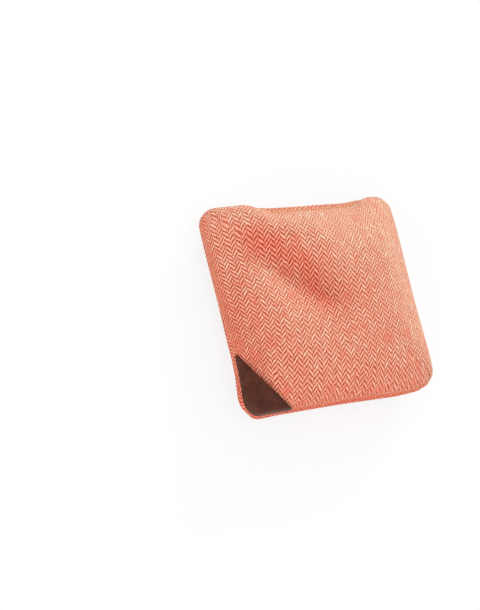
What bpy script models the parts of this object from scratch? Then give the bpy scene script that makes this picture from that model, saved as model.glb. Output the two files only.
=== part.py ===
"""A square toss bag: two woven panels sewn together round a pouch of pellets, lying on its back.

The bag is drawn about the plane of its seam, with the label's face up, and an empty lifts the
whole of it so that the flat of its underside lies at height zero. Metres throughout, +Z up.
"""

import math
from dataclasses import dataclass

import bmesh
import bpy
from mathutils import Vector

# Sizes of the sewn bag
SEWN_SIDE = 0.150
CORNER_RADIUS = 0.012
FRONT_CROWN = 0.023
BACK_DEPTH = 0.0175
SEAM_PINCH = 0.0048
FLAT_CUT = 0.0005
CLEARANCE = 0.0003

# Outer panels
PANEL_CLOTH = 0.0012
PANEL_ALLOWANCE = 0.0095

# Corner label, and the run of seam that opens to take it in
LABEL_LEFT_LEG = 0.051
LABEL_BOTTOM_LEG = 0.0385
LABEL_CLOTH = 0.0008
LABEL_LEAN_SHARE = 0.3
LABEL_EASE = 0.026

# Inner pouch and its pellets
POUCH_CLOTH = 0.0006
POUCH_ALLOWANCE = 0.0055
POUCH_PLAY = 0.0009
FILL_PLAY = 0.0015
POUCH_HEADROOM = 0.0040
FILL_HEADROOM = 0.0014

# Stitching
THREAD = 0.0005
STITCH_CLEARANCE = 0.0005
SEAM_STITCH_INSET = 0.0044
SAFETY_STITCH_INSET = 0.0068
POUCH_STITCH_INSET = 0.0025
CLOSING_LENGTH = 0.083
CLOSING_OFFSET = 0.0055
CLOSING_PITCH = 0.0035
CLOSING_BITE = 0.0012

# How the filled bag settles: its sides draw in, and the seam rides up and rolls to the front
LEFT_DRAW_IN = 0.0056
RIGHT_DRAW_IN = 0.0008
BOTTOM_DRAW_IN = 0.0008
TOP_DIP = 0.0048
LEFT_SEAM_LIFT = 0.0012
TOP_ROLL_REACH = 0.008
TOP_ROLL_DEGREES = 30
LEFT_ROLL_REACH = 0.020
LEFT_ROLL_DEGREES = 12

# The valley across the front and the forms beside it: the rise of each, and how far it reaches
# on the left and on the right of its run
VALLEY_RISE = -0.0054
VALLEY_LEFT_REACH = 0.021
VALLEY_RIGHT_REACH = 0.009
HOLLOW_RISE = -0.0040
HOLLOW_LEFT_REACH = 0.021
HOLLOW_RIGHT_REACH = 0.030
SHOULDER_RISE = 0.0024
SHOULDER_LEFT_REACH = 0.012
SHOULDER_RIGHT_REACH = 0.011
DENT_RISE = -0.0020
DENT_REACH = 0.010
FOLD_SOFTNESS = 0.0025
FOLD_FADE = 0.003
FOLD_POWER = 1.3

# Where each of them runs, in shares of half the sewn side
VALLEY_SHARES = ((-0.91, 0.52), (-0.61, 0.48), (-0.33, 0.15), (-0.03, -0.04))
HOLLOW_SHARES = ((-0.69, 0.48), (-0.33, 0.15), (-0.03, -0.04))
SHOULDER_SHARES = ((-0.59, 0.79), (0, 0.67), (0.16, 0.40))
DENT_SHARES = ((-0.88, 0.29), (-0.83, 0.31))

# Shares of half the sewn side at which the sides settle, and how they spread
LEFT_DRAW_IN_FROM_SHARE = 0.62
LEFT_DRAW_IN_TO_SHARE = -0.45
LEFT_CORNER_SHARE = -0.35
TOP_DIP_FROM_SHARE = -0.60
TOP_DIP_TO_SHARE = 0.80
DIP_EASE_SHARE = 0.34
LOW_LEFT_AT_SHARE = -0.55
LOW_LEFT_REACH_SHARE = 0.75
SIDE_FROM_SHARE = 0.6
SIDE_EASE_SHARE = 0.3
SLUMP_SHARE = 0.16

# Roundness of the two domes, where 1 is an ellipse and more is a flatter top
FRONT_FULLNESS = 1.9
BACK_FULLNESS = 2.0
CORNER_FULLNESS = 0.65
PINCH_SHARPNESS = 40
PINCH_POWER = 6
PINCH_CORNER_POWER = 8
PINCH_CORNER_SHARE = 0.35
SLOPE_CORNER_POWER = 4
ROUNDING_POWER = 4
EDGE_POWER = 3
EDGE_CROWDING_SHARE = 0.8

# What the left, right, bottom and top sides make of those
FRONT_FULLNESS_SHARES = (0.70, 0.80, 1.8, 0.80)
FRONT_LEFT_SLOPE_SHARE = 1.5
FRONT_PINCH_SHARES = (0.4, 0.35, 0.75, 0.45)
BACK_PINCH_SHARES = (1, 0.7, 1.6, 1)
TOP_ROLL_RELAXED_SHARE = 0.92
LEFT_ROLL_RELAXED_SHARE = 1
BACK_LOW_LEFT_PINCH_SHARE = 1.6

# Facets, and the share of the clearance within which two rims are one
PANEL_RINGS = 10
POUCH_RINGS = 10
THREAD_SIDES_STEP = 0
WELD_SHARE = 0.1

# Sizes that follow from the ones above
HALF_SIDE = SEWN_SIDE / 2
RAW_EDGE = HALF_SIDE - PANEL_ALLOWANCE
POUCH_RAW_EDGE = RAW_EDGE - POUCH_PLAY
POUCH_HALF = POUCH_RAW_EDGE - POUCH_ALLOWANCE
POUCH_CROWN = FRONT_CROWN - PANEL_CLOTH - POUCH_HEADROOM
POUCH_DEPTH = BACK_DEPTH - PANEL_CLOTH - CLEARANCE
FILL_HALF = POUCH_HALF - POUCH_CLOTH - FILL_PLAY
FILL_CROWN = POUCH_CROWN - POUCH_CLOTH - FILL_HEADROOM
FILL_DEPTH = POUCH_DEPTH - POUCH_CLOTH - CLEARANCE
SEAM_GAP = CLEARANCE / 2
LABEL_OPENING = LABEL_CLOTH + CLEARANCE


def clear_scene():
    """Remove whatever the scene holds."""
    for thing in list(bpy.data.objects):
        bpy.data.objects.remove(thing, do_unlink=True)


def new_collection(name):
    """A collection in the scene, for the parts or for the cutters."""
    collection = bpy.data.collections.new(name)
    bpy.context.scene.collection.children.link(collection)
    return collection


def material(name, colour, roughness):
    """A plain cloth, thread or plastic finish."""
    finish = bpy.data.materials.new(name)
    finish.use_nodes = True
    shader = finish.node_tree.nodes["Principled BSDF"]
    shader.inputs["Base Color"].default_value = (*colour, 1)
    shader.inputs["Roughness"].default_value = roughness
    shader.inputs["Metallic"].default_value = 0
    return finish


def ease(value):
    """Rise smoothly from 0 to 1 while value does."""
    held = min(max(value, 0), 1)
    return held * held * (3 - 2 * held)


def hump(value):
    """One at zero, fading smoothly to nothing at -1 and 1."""
    return ease(1 - abs(value))


def crowded(step):
    """Where a lattice line lies, from 0 at the middle to 1 at the seam, closer near the seam."""
    if abs(step) > 1:
        return math.copysign(1 + (abs(step) - 1) * EDGE_CROWDING_SHARE, step)
    return (1 - EDGE_CROWDING_SHARE) * step + EDGE_CROWDING_SHARE * math.sin(math.pi / 2 * step)


def rounded_square(u, v, half):
    """Place lattice point (u, v) of the unit square inside a square of that half side.

    Each ring of the lattice is a square whose corners round off towards the outermost ring. The
    last two numbers are the direction out of the ring.
    """
    ring = max(abs(u), abs(v))
    if ring == 0:
        return 0, 0, 0, 0
    radius = CORNER_RADIUS * ring**ROUNDING_POWER
    straight = half * ring - radius
    along = (v if abs(u) >= abs(v) else u) / ring * (straight + radius * math.pi / 4)
    out = half * ring
    turn = max(0, abs(along) - straight) / radius
    lean = math.copysign(math.sin(turn), along)
    if turn:
        out = straight + radius * math.cos(turn)
        along = math.copysign(straight, along) + radius * lean
    if abs(u) >= abs(v):
        return math.copysign(out, u), along, math.copysign(math.cos(turn), u), lean
    return along, math.copysign(out, v), lean, math.copysign(math.cos(turn), v)


def grown(u, v, shares):
    """A factor that is 1 in the middle and grows to each side's own share."""
    factor = 1
    for toward, share in zip((-u, u, -v, v), shares):
        factor *= 1 + (share - 1) * max(0, toward) ** 2
    return factor


def beside(x, y, shares):
    """A factor that is 1 in the middle and eases to each side's own share beside that side."""
    factor = 1
    for toward, share in zip((-x, x, -y, y), shares):
        near = ease((toward / HALF_SIDE - SIDE_FROM_SHARE) / SIDE_EASE_SHARE)
        factor *= 1 + (share - 1) * near
    return factor


def swell(u, v, side, fullness):
    """Height of a filled dome over (u, v), from 0 along its seam to 1 in the middle."""
    in_u, in_v = 1 - min(1, u * u), 1 - min(1, v * v)
    if in_u == 0 or in_v == 0:
        return 0
    inside = in_u * in_v / (in_u + in_v - in_u * in_v) ** CORNER_FULLNESS
    if side < 0:
        return 1 - (1 - math.sqrt(inside)) ** fullness
    gentler = (FRONT_LEFT_SLOPE_SHARE - 1) * max(0, -u) ** 2 * (1 - v**SLOPE_CORNER_POWER)
    filled = inside ** ((1 + gentler) / 2)
    return 1 - (1 - filled) ** (fullness * grown(u, v, FRONT_FULLNESS_SHARES))


def pinched_out(u, v):
    """How far the wall beside the seam stands out: not on the seam, and less at the corners."""
    ring = max(abs(u), abs(v))
    on_side = 1 - PINCH_CORNER_SHARE * (u * v) ** PINCH_CORNER_POWER
    return on_side * ring**PINCH_POWER * (1 - ring**PINCH_SHARPNESS)


def pinch_kept(x, y, side):
    """How much of the pinch there is on one side of the seam at (x, y)."""
    if side < 0:
        left, right, bottom, top = BACK_PINCH_SHARES
        left += (BACK_LOW_LEFT_PINCH_SHARE - left) * low_left(y)
    else:
        left, right, bottom, top = FRONT_PINCH_SHARES
        left *= 1 - low_left(y) * LEFT_ROLL_RELAXED_SHARE
        top *= 1 - top_dip(x) * TOP_ROLL_RELAXED_SHARE
    return beside(x, y, (left, right, bottom, top))


def from_line(x, y, start, end):
    """How far (x, y) is from the line between two places, and from 0 to 1 how far on its left."""
    first = Vector(start) * HALF_SIDE
    run = Vector(end) * HALF_SIDE - first
    point = Vector((x, y)) - first
    share = min(max(point.dot(run) / run.length_squared, 0), 1)
    away = (point - run * share).length
    leftward = (run.x * point.y - run.y * point.x) / run.length
    return away, (1 + leftward / away) / 2 if away else 0


def fold(x, y, run, rise, left_reach, right_reach):
    """How far a dip or a ridge that follows a run of places raises the front at (x, y)."""
    away, leftness = min(from_line(x, y, *ends) for ends in zip(run, run[1:]))
    reach = right_reach + (left_reach - right_reach) * leftness
    away = math.hypot(away, FOLD_SOFTNESS) - FOLD_SOFTNESS
    return rise * math.exp(-((away / reach) ** FOLD_POWER))


def top_dip(x):
    """How far the dip in the top side is developed at x, from 0 to 1."""
    share = x / HALF_SIDE
    opening = ease((share - TOP_DIP_FROM_SHARE) / DIP_EASE_SHARE)
    return opening * ease((TOP_DIP_TO_SHARE - share) / DIP_EASE_SHARE)


def low_left(y):
    """How far the lower half of the left side is rolled at y, from 0 to 1."""
    return hump((y / HALF_SIDE - LOW_LEFT_AT_SHARE) / LOW_LEFT_REACH_SHARE)


def label_opening(x, y):
    """How far the seam is opened by the label at (x, y), from 0 to 1."""
    past = (x + HALF_SIDE) / LABEL_BOTTOM_LEG + (y + HALF_SIDE) / LABEL_LEFT_LEG - 1
    return ease(1 - past * LABEL_LEFT_LEG / LABEL_EASE)


def left_draw_in(y):
    """How far the left side is drawn in at y: out at its far corner, and 1 near the label."""
    share = (LEFT_DRAW_IN_FROM_SHARE - y / HALF_SIDE) / (LEFT_DRAW_IN_FROM_SHARE - LEFT_DRAW_IN_TO_SHARE)
    return min(max(share, LEFT_CORNER_SHARE), 1)


def rolled(out, height, reach, degrees, share):
    """Turn a point about a line inside the seam, the more the nearer it is to the seam."""
    pivot = HALF_SIDE - reach
    beyond = out - pivot
    angle = math.radians(degrees) * ease(beyond / reach) * share
    turned = beyond * math.sin(angle) + height * math.cos(angle)
    return pivot + beyond * math.cos(angle) - height * math.sin(angle), turned


def settled(x, y, z):
    """Where a point of the evenly filled bag goes once the bag is handled and lies down."""
    left = max(0, -x / HALF_SIDE) ** EDGE_POWER * left_draw_in(y)
    right = max(0, x / HALF_SIDE) ** EDGE_POWER * hump(y / HALF_SIDE)
    bottom = max(0, -y / HALF_SIDE) ** EDGE_POWER * hump(x / HALF_SIDE)
    top = max(0, y / HALF_SIDE) ** EDGE_POWER * top_dip(x)
    height = z
    if z > 0:
        folded = fold(x, y, VALLEY_SHARES, VALLEY_RISE, VALLEY_LEFT_REACH, VALLEY_RIGHT_REACH)
        folded += fold(x, y, HOLLOW_SHARES, HOLLOW_RISE, HOLLOW_LEFT_REACH, HOLLOW_RIGHT_REACH)
        folded += fold(x, y, SHOULDER_SHARES, SHOULDER_RISE, SHOULDER_LEFT_REACH, SHOULDER_RIGHT_REACH)
        folded += fold(x, y, DENT_SHARES, DENT_RISE, DENT_REACH, DENT_REACH)
        slumped = folded / FRONT_CROWN - SLUMP_SHARE * y / HALF_SIDE
        height = z * (1 + slumped * ease(z / FOLD_FADE))
    up, height = rolled(y, height, TOP_ROLL_REACH, TOP_ROLL_DEGREES, top_dip(x))
    leftward, height = rolled(-x, height, LEFT_ROLL_REACH, LEFT_ROLL_DEGREES, low_left(y))
    return Vector(
        (
            -leftward + LEFT_DRAW_IN * left - RIGHT_DRAW_IN * right,
            up + BOTTOM_DRAW_IN * bottom - TOP_DIP * top,
            height + LEFT_SEAM_LIFT * left,
        )
    )


def lattice(rings, past_seam=0):
    """A square grid of unit cells, with rings round the middle and some more past the seam."""
    mesh = bmesh.new()
    reach = rings + past_seam
    bmesh.ops.create_grid(mesh, x_segments=2 * reach, y_segments=2 * reach, size=reach)
    return mesh


@dataclass
class Dome:
    """One dome of a sewn layer, from the middle of its cloth to the raw edge of its allowance.

    side is 1 for the front and -1 for the back, base is the height of its seam over the plane of
    the bag's seam, hem is the half side of its raw edge, pinch is how far its wall stands out past
    the seam, and opening is how far the seam rises over the label.
    """

    side: int
    half: float
    height: float
    fullness: float
    base: float
    rings: int
    hem: float = 0
    pinch: float = 0
    opening: float = 0

    def skin(self):
        """The dome's outer skin, its last ring laid flat as the allowance if it has a hem."""
        mesh = lattice(self.rings, past_seam=1 if self.hem else 0)
        for vertex in mesh.verts:
            u, v = crowded(round(vertex.co.x) / self.rings), crowded(round(vertex.co.y) / self.rings)
            ring = max(abs(u), abs(v), 1)
            vertex.co = self.hem_point(u / ring, v / ring) if ring > 1 else self.dome_point(u, v)
        if self.side < 0:
            bmesh.ops.reverse_faces(mesh, faces=mesh.faces)
        bmesh.ops.triangulate(mesh, faces=mesh.faces)
        mesh.normal_update()
        return mesh

    def dome_point(self, u, v):
        """The point of the settled dome at (u, v) on the unit square."""
        x, y, out_x, out_y = rounded_square(u, v, self.half)
        bulge = self.pinch * pinched_out(u, v) * pinch_kept(x, y, self.side)
        height = self.base + self.opening * label_opening(x, y)
        height += self.height * swell(u, v, self.side, self.fullness)
        return settled(x + bulge * out_x, y + bulge * out_y, self.side * height)

    def hem_point(self, u, v):
        """The point of the raw edge beside (u, v) on the unit square's edge."""
        return self.inset_point(u, v, self.half - self.hem)

    def inset_point(self, u, v, inset):
        """The point inset from the seam at (u, v) on the unit square's edge."""
        x, y, _, _ = rounded_square(u, v, self.half)
        shrink = 1 - inset / self.half
        x, y = x * shrink, y * shrink
        return settled(x, y, self.side * (self.base + self.opening * label_opening(x, y)))

    def allowance_point(self, u, v, inset, above):
        """The point that far in on the allowance at (u, v), and that far square above it."""
        seam = self.inset_point(u, v, 0)
        across = self.hem_point(u, v) - seam
        square = Vector((0, 0, self.side)) - across * (self.side * across.z / across.length_squared)
        return seam + across * (inset / (self.half - self.hem)) + square.normalized() * above


def mesh_object(name, mesh, finish, parts, bag):
    """Make a part of the bag from a bmesh, smooth shaded and carried by the bag's empty."""
    data = bpy.data.meshes.new(name)
    mesh.to_mesh(data)
    mesh.free()
    if finish:
        data.materials.append(finish)
    data.shade_smooth()
    part = bpy.data.objects.new(name, data)
    part.parent = bag
    parts.objects.link(part)
    return part


def thicken(part, thickness, outward=False):
    """Give an open skin its cloth's thickness, inward unless told otherwise."""
    cloth = part.modifiers.new("Cloth", "SOLIDIFY")
    cloth.thickness = thickness
    cloth.offset = 1 if outward else -1
    cloth.use_even_offset = True


def stitch_object(name, points, finish, parts, bag, closed):
    """A thread laid along points."""
    curve = bpy.data.curves.new(name, "CURVE")
    curve.dimensions = "3D"
    curve.bevel_depth = THREAD / 2
    curve.bevel_resolution = THREAD_SIDES_STEP
    curve.use_fill_caps = not closed
    spline = curve.splines.new("POLY")
    spline.points.add(len(points) - 1)
    for knot, point in zip(spline.points, points):
        knot.co = (*point, 1)
    spline.use_cyclic_u = closed
    curve.materials.append(finish)
    thread = bpy.data.objects.new(name, curve)
    thread.parent = bag
    parts.objects.link(thread)
    return thread


def ring_steps(rings):
    """The unit square's edge, walked once round at the lattice's own lines."""
    marks = [crowded(step / rings) for step in range(-rings, rings)]
    walk = [(mark, -1) for mark in marks]
    walk += [(1, mark) for mark in marks]
    walk += [(-mark, 1) for mark in marks]
    walk += [(-1, -mark) for mark in marks]
    return walk


def row_of_stitches(name, dome, inset, above, finish, parts, bag):
    """A thread round the bag, laid over a dome's seam allowance at some inset from its seam."""
    points = [dome.allowance_point(u, v, inset, above) for u, v in ring_steps(dome.rings)]
    return stitch_object(name, points, finish, parts, bag, closed=True)


def front_dome():
    """The front panel's dome, whose allowance is turned in and eases over the label."""
    return Dome(
        side=1,
        half=HALF_SIDE,
        height=FRONT_CROWN - SEAM_GAP,
        fullness=FRONT_FULLNESS,
        base=SEAM_GAP,
        rings=PANEL_RINGS,
        hem=RAW_EDGE,
        pinch=SEAM_PINCH,
        opening=LABEL_OPENING,
    )


def back_dome():
    """The back panel's shallower dome, whose allowance is turned in."""
    return Dome(
        side=-1,
        half=HALF_SIDE,
        height=BACK_DEPTH - SEAM_GAP,
        fullness=BACK_FULLNESS,
        base=SEAM_GAP,
        rings=PANEL_RINGS,
        hem=RAW_EDGE,
        pinch=SEAM_PINCH,
    )


def pouch_dome(side, height, fullness):
    """One half of the inner pouch, whose allowance is left outside."""
    base = SEAM_GAP + POUCH_CLOTH
    return Dome(
        side=side,
        half=POUCH_HALF,
        height=height - base,
        fullness=fullness,
        base=base,
        rings=POUCH_RINGS,
        hem=POUCH_RAW_EDGE,
    )


def fill_dome(side, height, fullness):
    """One half of the heap of pellets."""
    return Dome(side, FILL_HALF, height, fullness, base=0, rings=POUCH_RINGS)


def panel(name, dome, finish, parts, bag):
    """An outer panel of woven cloth."""
    part = mesh_object(name, dome.skin(), finish, parts, bag)
    thicken(part, PANEL_CLOTH)
    return part


def cut_flat(part, cutters):
    """Cut away what a part has below the ground, to a flat face."""
    block = bmesh.new()
    bmesh.ops.create_cube(block, size=SEWN_SIDE)
    ground = mesh_object("ground_cutter", block, None, cutters, None)
    ground.location.z = -HALF_SIDE
    ground.hide_render = True
    ground.display_type = "WIRE"
    flat = part.modifiers.new("Flat", "BOOLEAN")
    flat.operation = "DIFFERENCE"
    flat.object = ground


def corner_label(dome, finish, parts, bag):
    """A triangle folded over the front panel's near left corner and sewn into both its seams."""
    mesh = dome.skin()
    moves = [(v, v.normal * CLEARANCE * v.calc_shell_factor()) for v in mesh.verts]
    for vertex, move in moves:
        vertex.co += move
    across = Vector((LABEL_LEFT_LEG, LABEL_BOTTOM_LEG)).normalized()
    bmesh.ops.bisect_plane(
        mesh,
        geom=mesh.verts[:] + mesh.edges[:] + mesh.faces[:],
        plane_co=(LABEL_BOTTOM_LEG - HALF_SIDE, -HALF_SIDE, 0),
        plane_no=(*across, LABEL_LEAN_SHARE),
        clear_outer=True,
    )
    label = mesh_object("corner_label", mesh, finish, parts, bag)
    thicken(label, LABEL_CLOTH, outward=True)
    return label


def pouch_half(name, dome, finish, parts, bag):
    """One half of the inner pouch's plain cloth."""
    half = mesh_object(name, dome.skin(), finish, parts, bag)
    thicken(half, POUCH_CLOTH)
    return half


def pellet_fill(upper, lower, finish, parts, bag):
    """The pellets as one solid, a shallow dome under a taller one, joined along their rim."""
    mesh = upper.skin()
    under = lower.skin()
    below = bpy.data.meshes.new("pellets_below")
    under.to_mesh(below)
    under.free()
    mesh.from_mesh(below)
    bpy.data.meshes.remove(below)
    bmesh.ops.remove_doubles(mesh, verts=mesh.verts, dist=WELD_SHARE * CLEARANCE)
    return mesh_object("pellet_fill", mesh, finish, parts, bag)


def closing_stitch(finish, parts, bag):
    """The thread that closes the filling gap, laced to and fro across the top seam."""
    bites = 2 * round(CLOSING_LENGTH / CLOSING_PITCH)
    out = HALF_SIDE + STITCH_CLEARANCE + THREAD / 2
    points = []
    for bite in range(bites + 1):
        x = CLOSING_OFFSET + CLOSING_LENGTH * (bite / bites - 1 / 2)
        points.append(settled(x, out, CLOSING_BITE if bite % 2 else -CLOSING_BITE))
    return stitch_object("closing_stitch", points, finish, parts, bag, closed=False)


def sewn_rows(name, panel_side, pouch_side, thread, pouch_thread, parts, bag):
    """The threads of the three sewn rows that lie on one side of the seam."""
    on_panel = PANEL_CLOTH + STITCH_CLEARANCE + THREAD / 2
    on_pouch = STITCH_CLEARANCE + THREAD / 2
    pouch_inset = POUCH_STITCH_INSET - POUCH_ALLOWANCE
    row_of_stitches(f"seam_stitch_{name}", panel_side, SEAM_STITCH_INSET, on_panel, thread, parts, bag)
    row_of_stitches(f"safety_stitch_{name}", panel_side, SAFETY_STITCH_INSET, on_panel, thread, parts, bag)
    row_of_stitches(f"pouch_stitch_{name}", pouch_side, pouch_inset, on_pouch, pouch_thread, parts, bag)


def build():
    """The whole bag, on an empty that lifts it onto the ground."""
    clear_scene()
    parts = new_collection("toss_bag")
    cutters = new_collection("cutters")
    bag = bpy.data.objects.new("bag", None)
    bag.location.z = BACK_DEPTH - FLAT_CUT
    parts.objects.link(bag)

    woven = material("coral_herringbone", (0.78, 0.30, 0.20), 0.95)
    hide = material("brown_label", (0.095, 0.035, 0.022), 0.55)
    calico = material("natural_calico", (0.72, 0.66, 0.54), 0.9)
    pellets = material("plastic_pellets", (0.75, 0.75, 0.72), 0.4)
    thread = material("coral_thread", (0.80, 0.26, 0.12), 0.7)
    pouch_thread = material("natural_thread", (0.78, 0.74, 0.65), 0.7)

    front, back = front_dome(), back_dome()
    pouch_front = pouch_dome(1, POUCH_CROWN, FRONT_FULLNESS)
    pouch_back = pouch_dome(-1, POUCH_DEPTH, BACK_FULLNESS)
    panel("front_panel", front, woven, parts, bag)
    cut_flat(panel("back_panel", back, woven, parts, bag), cutters)
    corner_label(front, hide, parts, bag)
    pouch_half("pouch_front", pouch_front, calico, parts, bag)
    pouch_half("pouch_back", pouch_back, calico, parts, bag)
    pellet_fill(
        fill_dome(1, FILL_CROWN, FRONT_FULLNESS),
        fill_dome(-1, FILL_DEPTH, BACK_FULLNESS),
        pellets, parts, bag,
    )
    sewn_rows("front", front, pouch_front, thread, pouch_thread, parts, bag)
    sewn_rows("back", back, pouch_back, thread, pouch_thread, parts, bag)
    closing_stitch(thread, parts, bag)


build()
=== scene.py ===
"""The looks of a square toss bag: two herringbone panels sewn round an inner pouch of pellets.

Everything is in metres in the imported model's frame: +Z up, the bag lying on its back panel, the
label at the corner with the lowest X and Y. The bag's shape is worked out about the plane of its
seam and lifted to the seam's height at the end.
"""

import logging
import math
from dataclasses import dataclass, replace
from enum import Enum
from typing import Callable, Sequence

import bmesh
import bpy
import numpy as np
from mathutils import Matrix, Vector


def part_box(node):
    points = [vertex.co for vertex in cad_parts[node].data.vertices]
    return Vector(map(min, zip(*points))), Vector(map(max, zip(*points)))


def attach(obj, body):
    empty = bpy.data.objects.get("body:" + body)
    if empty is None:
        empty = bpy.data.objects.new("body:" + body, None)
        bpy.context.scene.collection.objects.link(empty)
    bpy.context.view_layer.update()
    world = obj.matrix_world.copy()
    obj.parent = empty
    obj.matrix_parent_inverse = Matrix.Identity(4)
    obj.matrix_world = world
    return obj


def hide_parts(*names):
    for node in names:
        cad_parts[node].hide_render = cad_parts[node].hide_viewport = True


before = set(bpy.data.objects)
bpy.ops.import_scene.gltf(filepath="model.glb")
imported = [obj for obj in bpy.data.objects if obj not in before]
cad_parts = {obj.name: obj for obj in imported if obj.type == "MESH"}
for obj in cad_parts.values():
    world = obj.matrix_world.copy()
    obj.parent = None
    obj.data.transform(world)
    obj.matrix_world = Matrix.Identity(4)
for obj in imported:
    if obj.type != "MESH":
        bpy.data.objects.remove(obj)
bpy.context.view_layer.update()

BODY = "root"
SEWN_SIDE = 0.150
LABEL_LEFT_LEG = 0.051
LABEL_BOTTOM_LEG = 0.0385
CLOTH_MAP = "cloth"
BAKE_MAP = "OFBake"
SEED = 11
# A direction in which no thread runs
NEVER_ALONG = (0.31, 0.52, 0.79)

Array = np.ndarray
Socket = bpy.types.NodeSocket
Wire = Socket | float
Colour = tuple[float, float, float]
Triple = tuple[float, float, float]
Place = tuple[float, float]
Wide = Array | float
Wires = dict[str | int, Wire | tuple]

log = logging.getLogger("toss_bag")


# Curves and lattices


def ease(value: Array) -> Array:
    """Rises smoothly from 0 to 1 while value does.

    Args:
        value: Any numbers.

    Returns:
        Numbers from 0 to 1.
    """
    held = np.clip(value, 0, 1)
    return held * held * (3 - 2 * held)


def hump(value: Array) -> Array:
    """One at zero, fading smoothly to nothing at -1 and 1.

    Args:
        value: Any numbers.

    Returns:
        Numbers from 0 to 1.
    """
    return ease(1 - np.abs(value))


def bell(distance: Array, width: float) -> Array:
    """A bell curve of a distance.

    Args:
        distance: Distances, in metres.
        width: Distance at which the bell has fallen to about a third.

    Returns:
        Numbers from 0 to 1.
    """
    return np.exp(-((distance / width) ** 2))


def along_line(x: Array, y: Array, start: Sequence[float], end: Sequence[float]) -> Array:
    """Distance of points from a line between two points.

    Args:
        x: The points' x.
        y: The points' y.
        start: The line's first point.
        end: The line's last point.

    Returns:
        The distances.
    """
    run_x, run_y = end[0] - start[0], end[1] - start[1]
    share = ((x - start[0]) * run_x + (y - start[1]) * run_y) / (run_x**2 + run_y**2)
    share = np.clip(share, 0, 1)
    return np.hypot(x - start[0] - share * run_x, y - start[1] - share * run_y)


def rounded_square(u: Array, v: Array, half: float, corner: float) -> tuple[Array, Array, Array, Array]:
    """Places lattice points of the unit square inside a square whose rings round off outwards.

    Args:
        u: Places across the unit square, from -1 to 1.
        v: Places up the unit square, from -1 to 1.
        half: Half the square's side.
        corner: The outermost ring's corner radius.

    Returns:
        The points' x and y, and the x and y of the directions out of their rings.
    """
    ring = np.maximum(np.abs(u), np.abs(v))
    radius = corner * ring**4
    straight = half * ring - radius
    on_side = np.abs(u) >= np.abs(v)
    along = np.where(on_side, v, u) / np.where(ring > 0, ring, 1) * (straight + radius * math.pi / 4)
    turned = np.abs(along) > straight
    turn = np.where(turned, (np.abs(along) - straight) / np.where(radius > 0, radius, 1), 0)
    out = np.where(turned, straight + radius * np.cos(turn), half * ring)
    lean = np.copysign(np.sin(turn), along)
    along = np.where(turned, np.copysign(straight, along) + radius * lean, along)
    x = np.where(on_side, np.copysign(out, u), along)
    y = np.where(on_side, along, np.copysign(out, v))
    out_x = np.where(on_side, np.copysign(np.cos(turn), u), lean)
    out_y = np.where(on_side, lean, np.copysign(np.cos(turn), v))
    return x, y, out_x, out_y


def finer_steps(cells: int, factor: int) -> Array:
    """The weights that carry a row of lattice points to one with more points, by a smooth curve.

    Args:
        cells: How many cells the row has.
        factor: How many cells each of them becomes.

    Returns:
        A matrix of (cells * factor + 1) rows and (cells + 1) columns.
    """
    weights = np.zeros((cells * factor + 1, cells + 3))
    for step in range(cells * factor + 1):
        first = min(step // factor, cells - 1)
        t = step / factor - first
        weights[step, first : first + 4] = (
            (-t + 2 * t**2 - t**3) / 2,
            (2 - 5 * t**2 + 3 * t**3) / 2,
            (t + 4 * t**2 - 3 * t**3) / 2,
            (t**3 - t**2) / 2,
        )
    kept = weights[:, 1:-1].copy()
    kept[:, 0] += 2 * weights[:, 0]
    kept[:, 1] -= weights[:, 0]
    kept[:, -1] += 2 * weights[:, -1]
    kept[:, -2] -= weights[:, -1]
    return kept


def finer(grid: Array, factor: int) -> Array:
    """A lattice of points with each cell split both ways.

    Args:
        grid: Points, by column, row and coordinate.
        factor: How many cells each cell becomes, each way.

    Returns:
        The finer lattice.
    """
    across = finer_steps(grid.shape[0] - 1, factor)
    up = finer_steps(grid.shape[1] - 1, factor)
    return np.einsum("ai,bj,ijk->abk", across, up, grid, optimize=True)


def unit(vectors: Array) -> Array:
    """Vectors of the same directions with a length of 1."""
    return vectors / np.linalg.norm(vectors, axis=-1, keepdims=True)


def run_lengths(path: Array) -> Array:
    """How far along a path each of its points is, in metres."""
    return np.concatenate([[0], np.cumsum(np.linalg.norm(np.diff(path, axis=0), axis=1))])


def normals(grid: Array) -> Array:
    """Unit normals of a lattice of points, on the side from which its columns run to the right.

    Args:
        grid: Points, by column, row and coordinate.

    Returns:
        One vector for each point.
    """
    across = np.gradient(grid, axis=0)
    up = np.gradient(grid, axis=1)
    return unit(np.cross(across, up))


def rim(cells: int) -> Array:
    """The border of a lattice, walked once round from its first corner.

    Args:
        cells: How many cells the lattice has each way.

    Returns:
        The indices of the border's points, for points numbered column by column.
    """
    steps = np.arange(cells)
    far = np.full(cells, cells)
    near = np.zeros(cells, int)
    columns = np.concatenate([steps, far, cells - steps, near])
    rows = np.concatenate([near, steps, far, cells - steps])
    return columns * (cells + 1) + rows


def quads(cells: int) -> Array:
    """The cells of a lattice as faces that look up.

    Args:
        cells: How many cells the lattice has each way.

    Returns:
        Four point indices for each cell.
    """
    column, row = np.meshgrid(np.arange(cells), np.arange(cells), indexing="ij")
    first = (column * (cells + 1) + row).ravel()
    return np.stack([first, first + cells + 1, first + cells + 2, first + 1], axis=1)


def smooth_noise(shape: tuple[int, int], cells: int, seed: int) -> Array:
    """Smooth bumps at random over a lattice.

    Args:
        shape: How many points the lattice has each way.
        cells: About how many bumps there are across it.
        seed: What the bumps are drawn from.

    Returns:
        Numbers of about -1 to 1, one for each point.
    """
    drawn = np.random.default_rng(seed).uniform(-1, 1, (cells + 1, cells + 1, 1))
    fine = finer(drawn, -(-max(shape) // cells))
    return fine[: shape[0], : shape[1], 0]


# The filled bag's shape


class Layer(Enum):
    """Which side of the seam a sewn layer is on."""

    FRONT = 1
    BACK = -1


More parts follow.
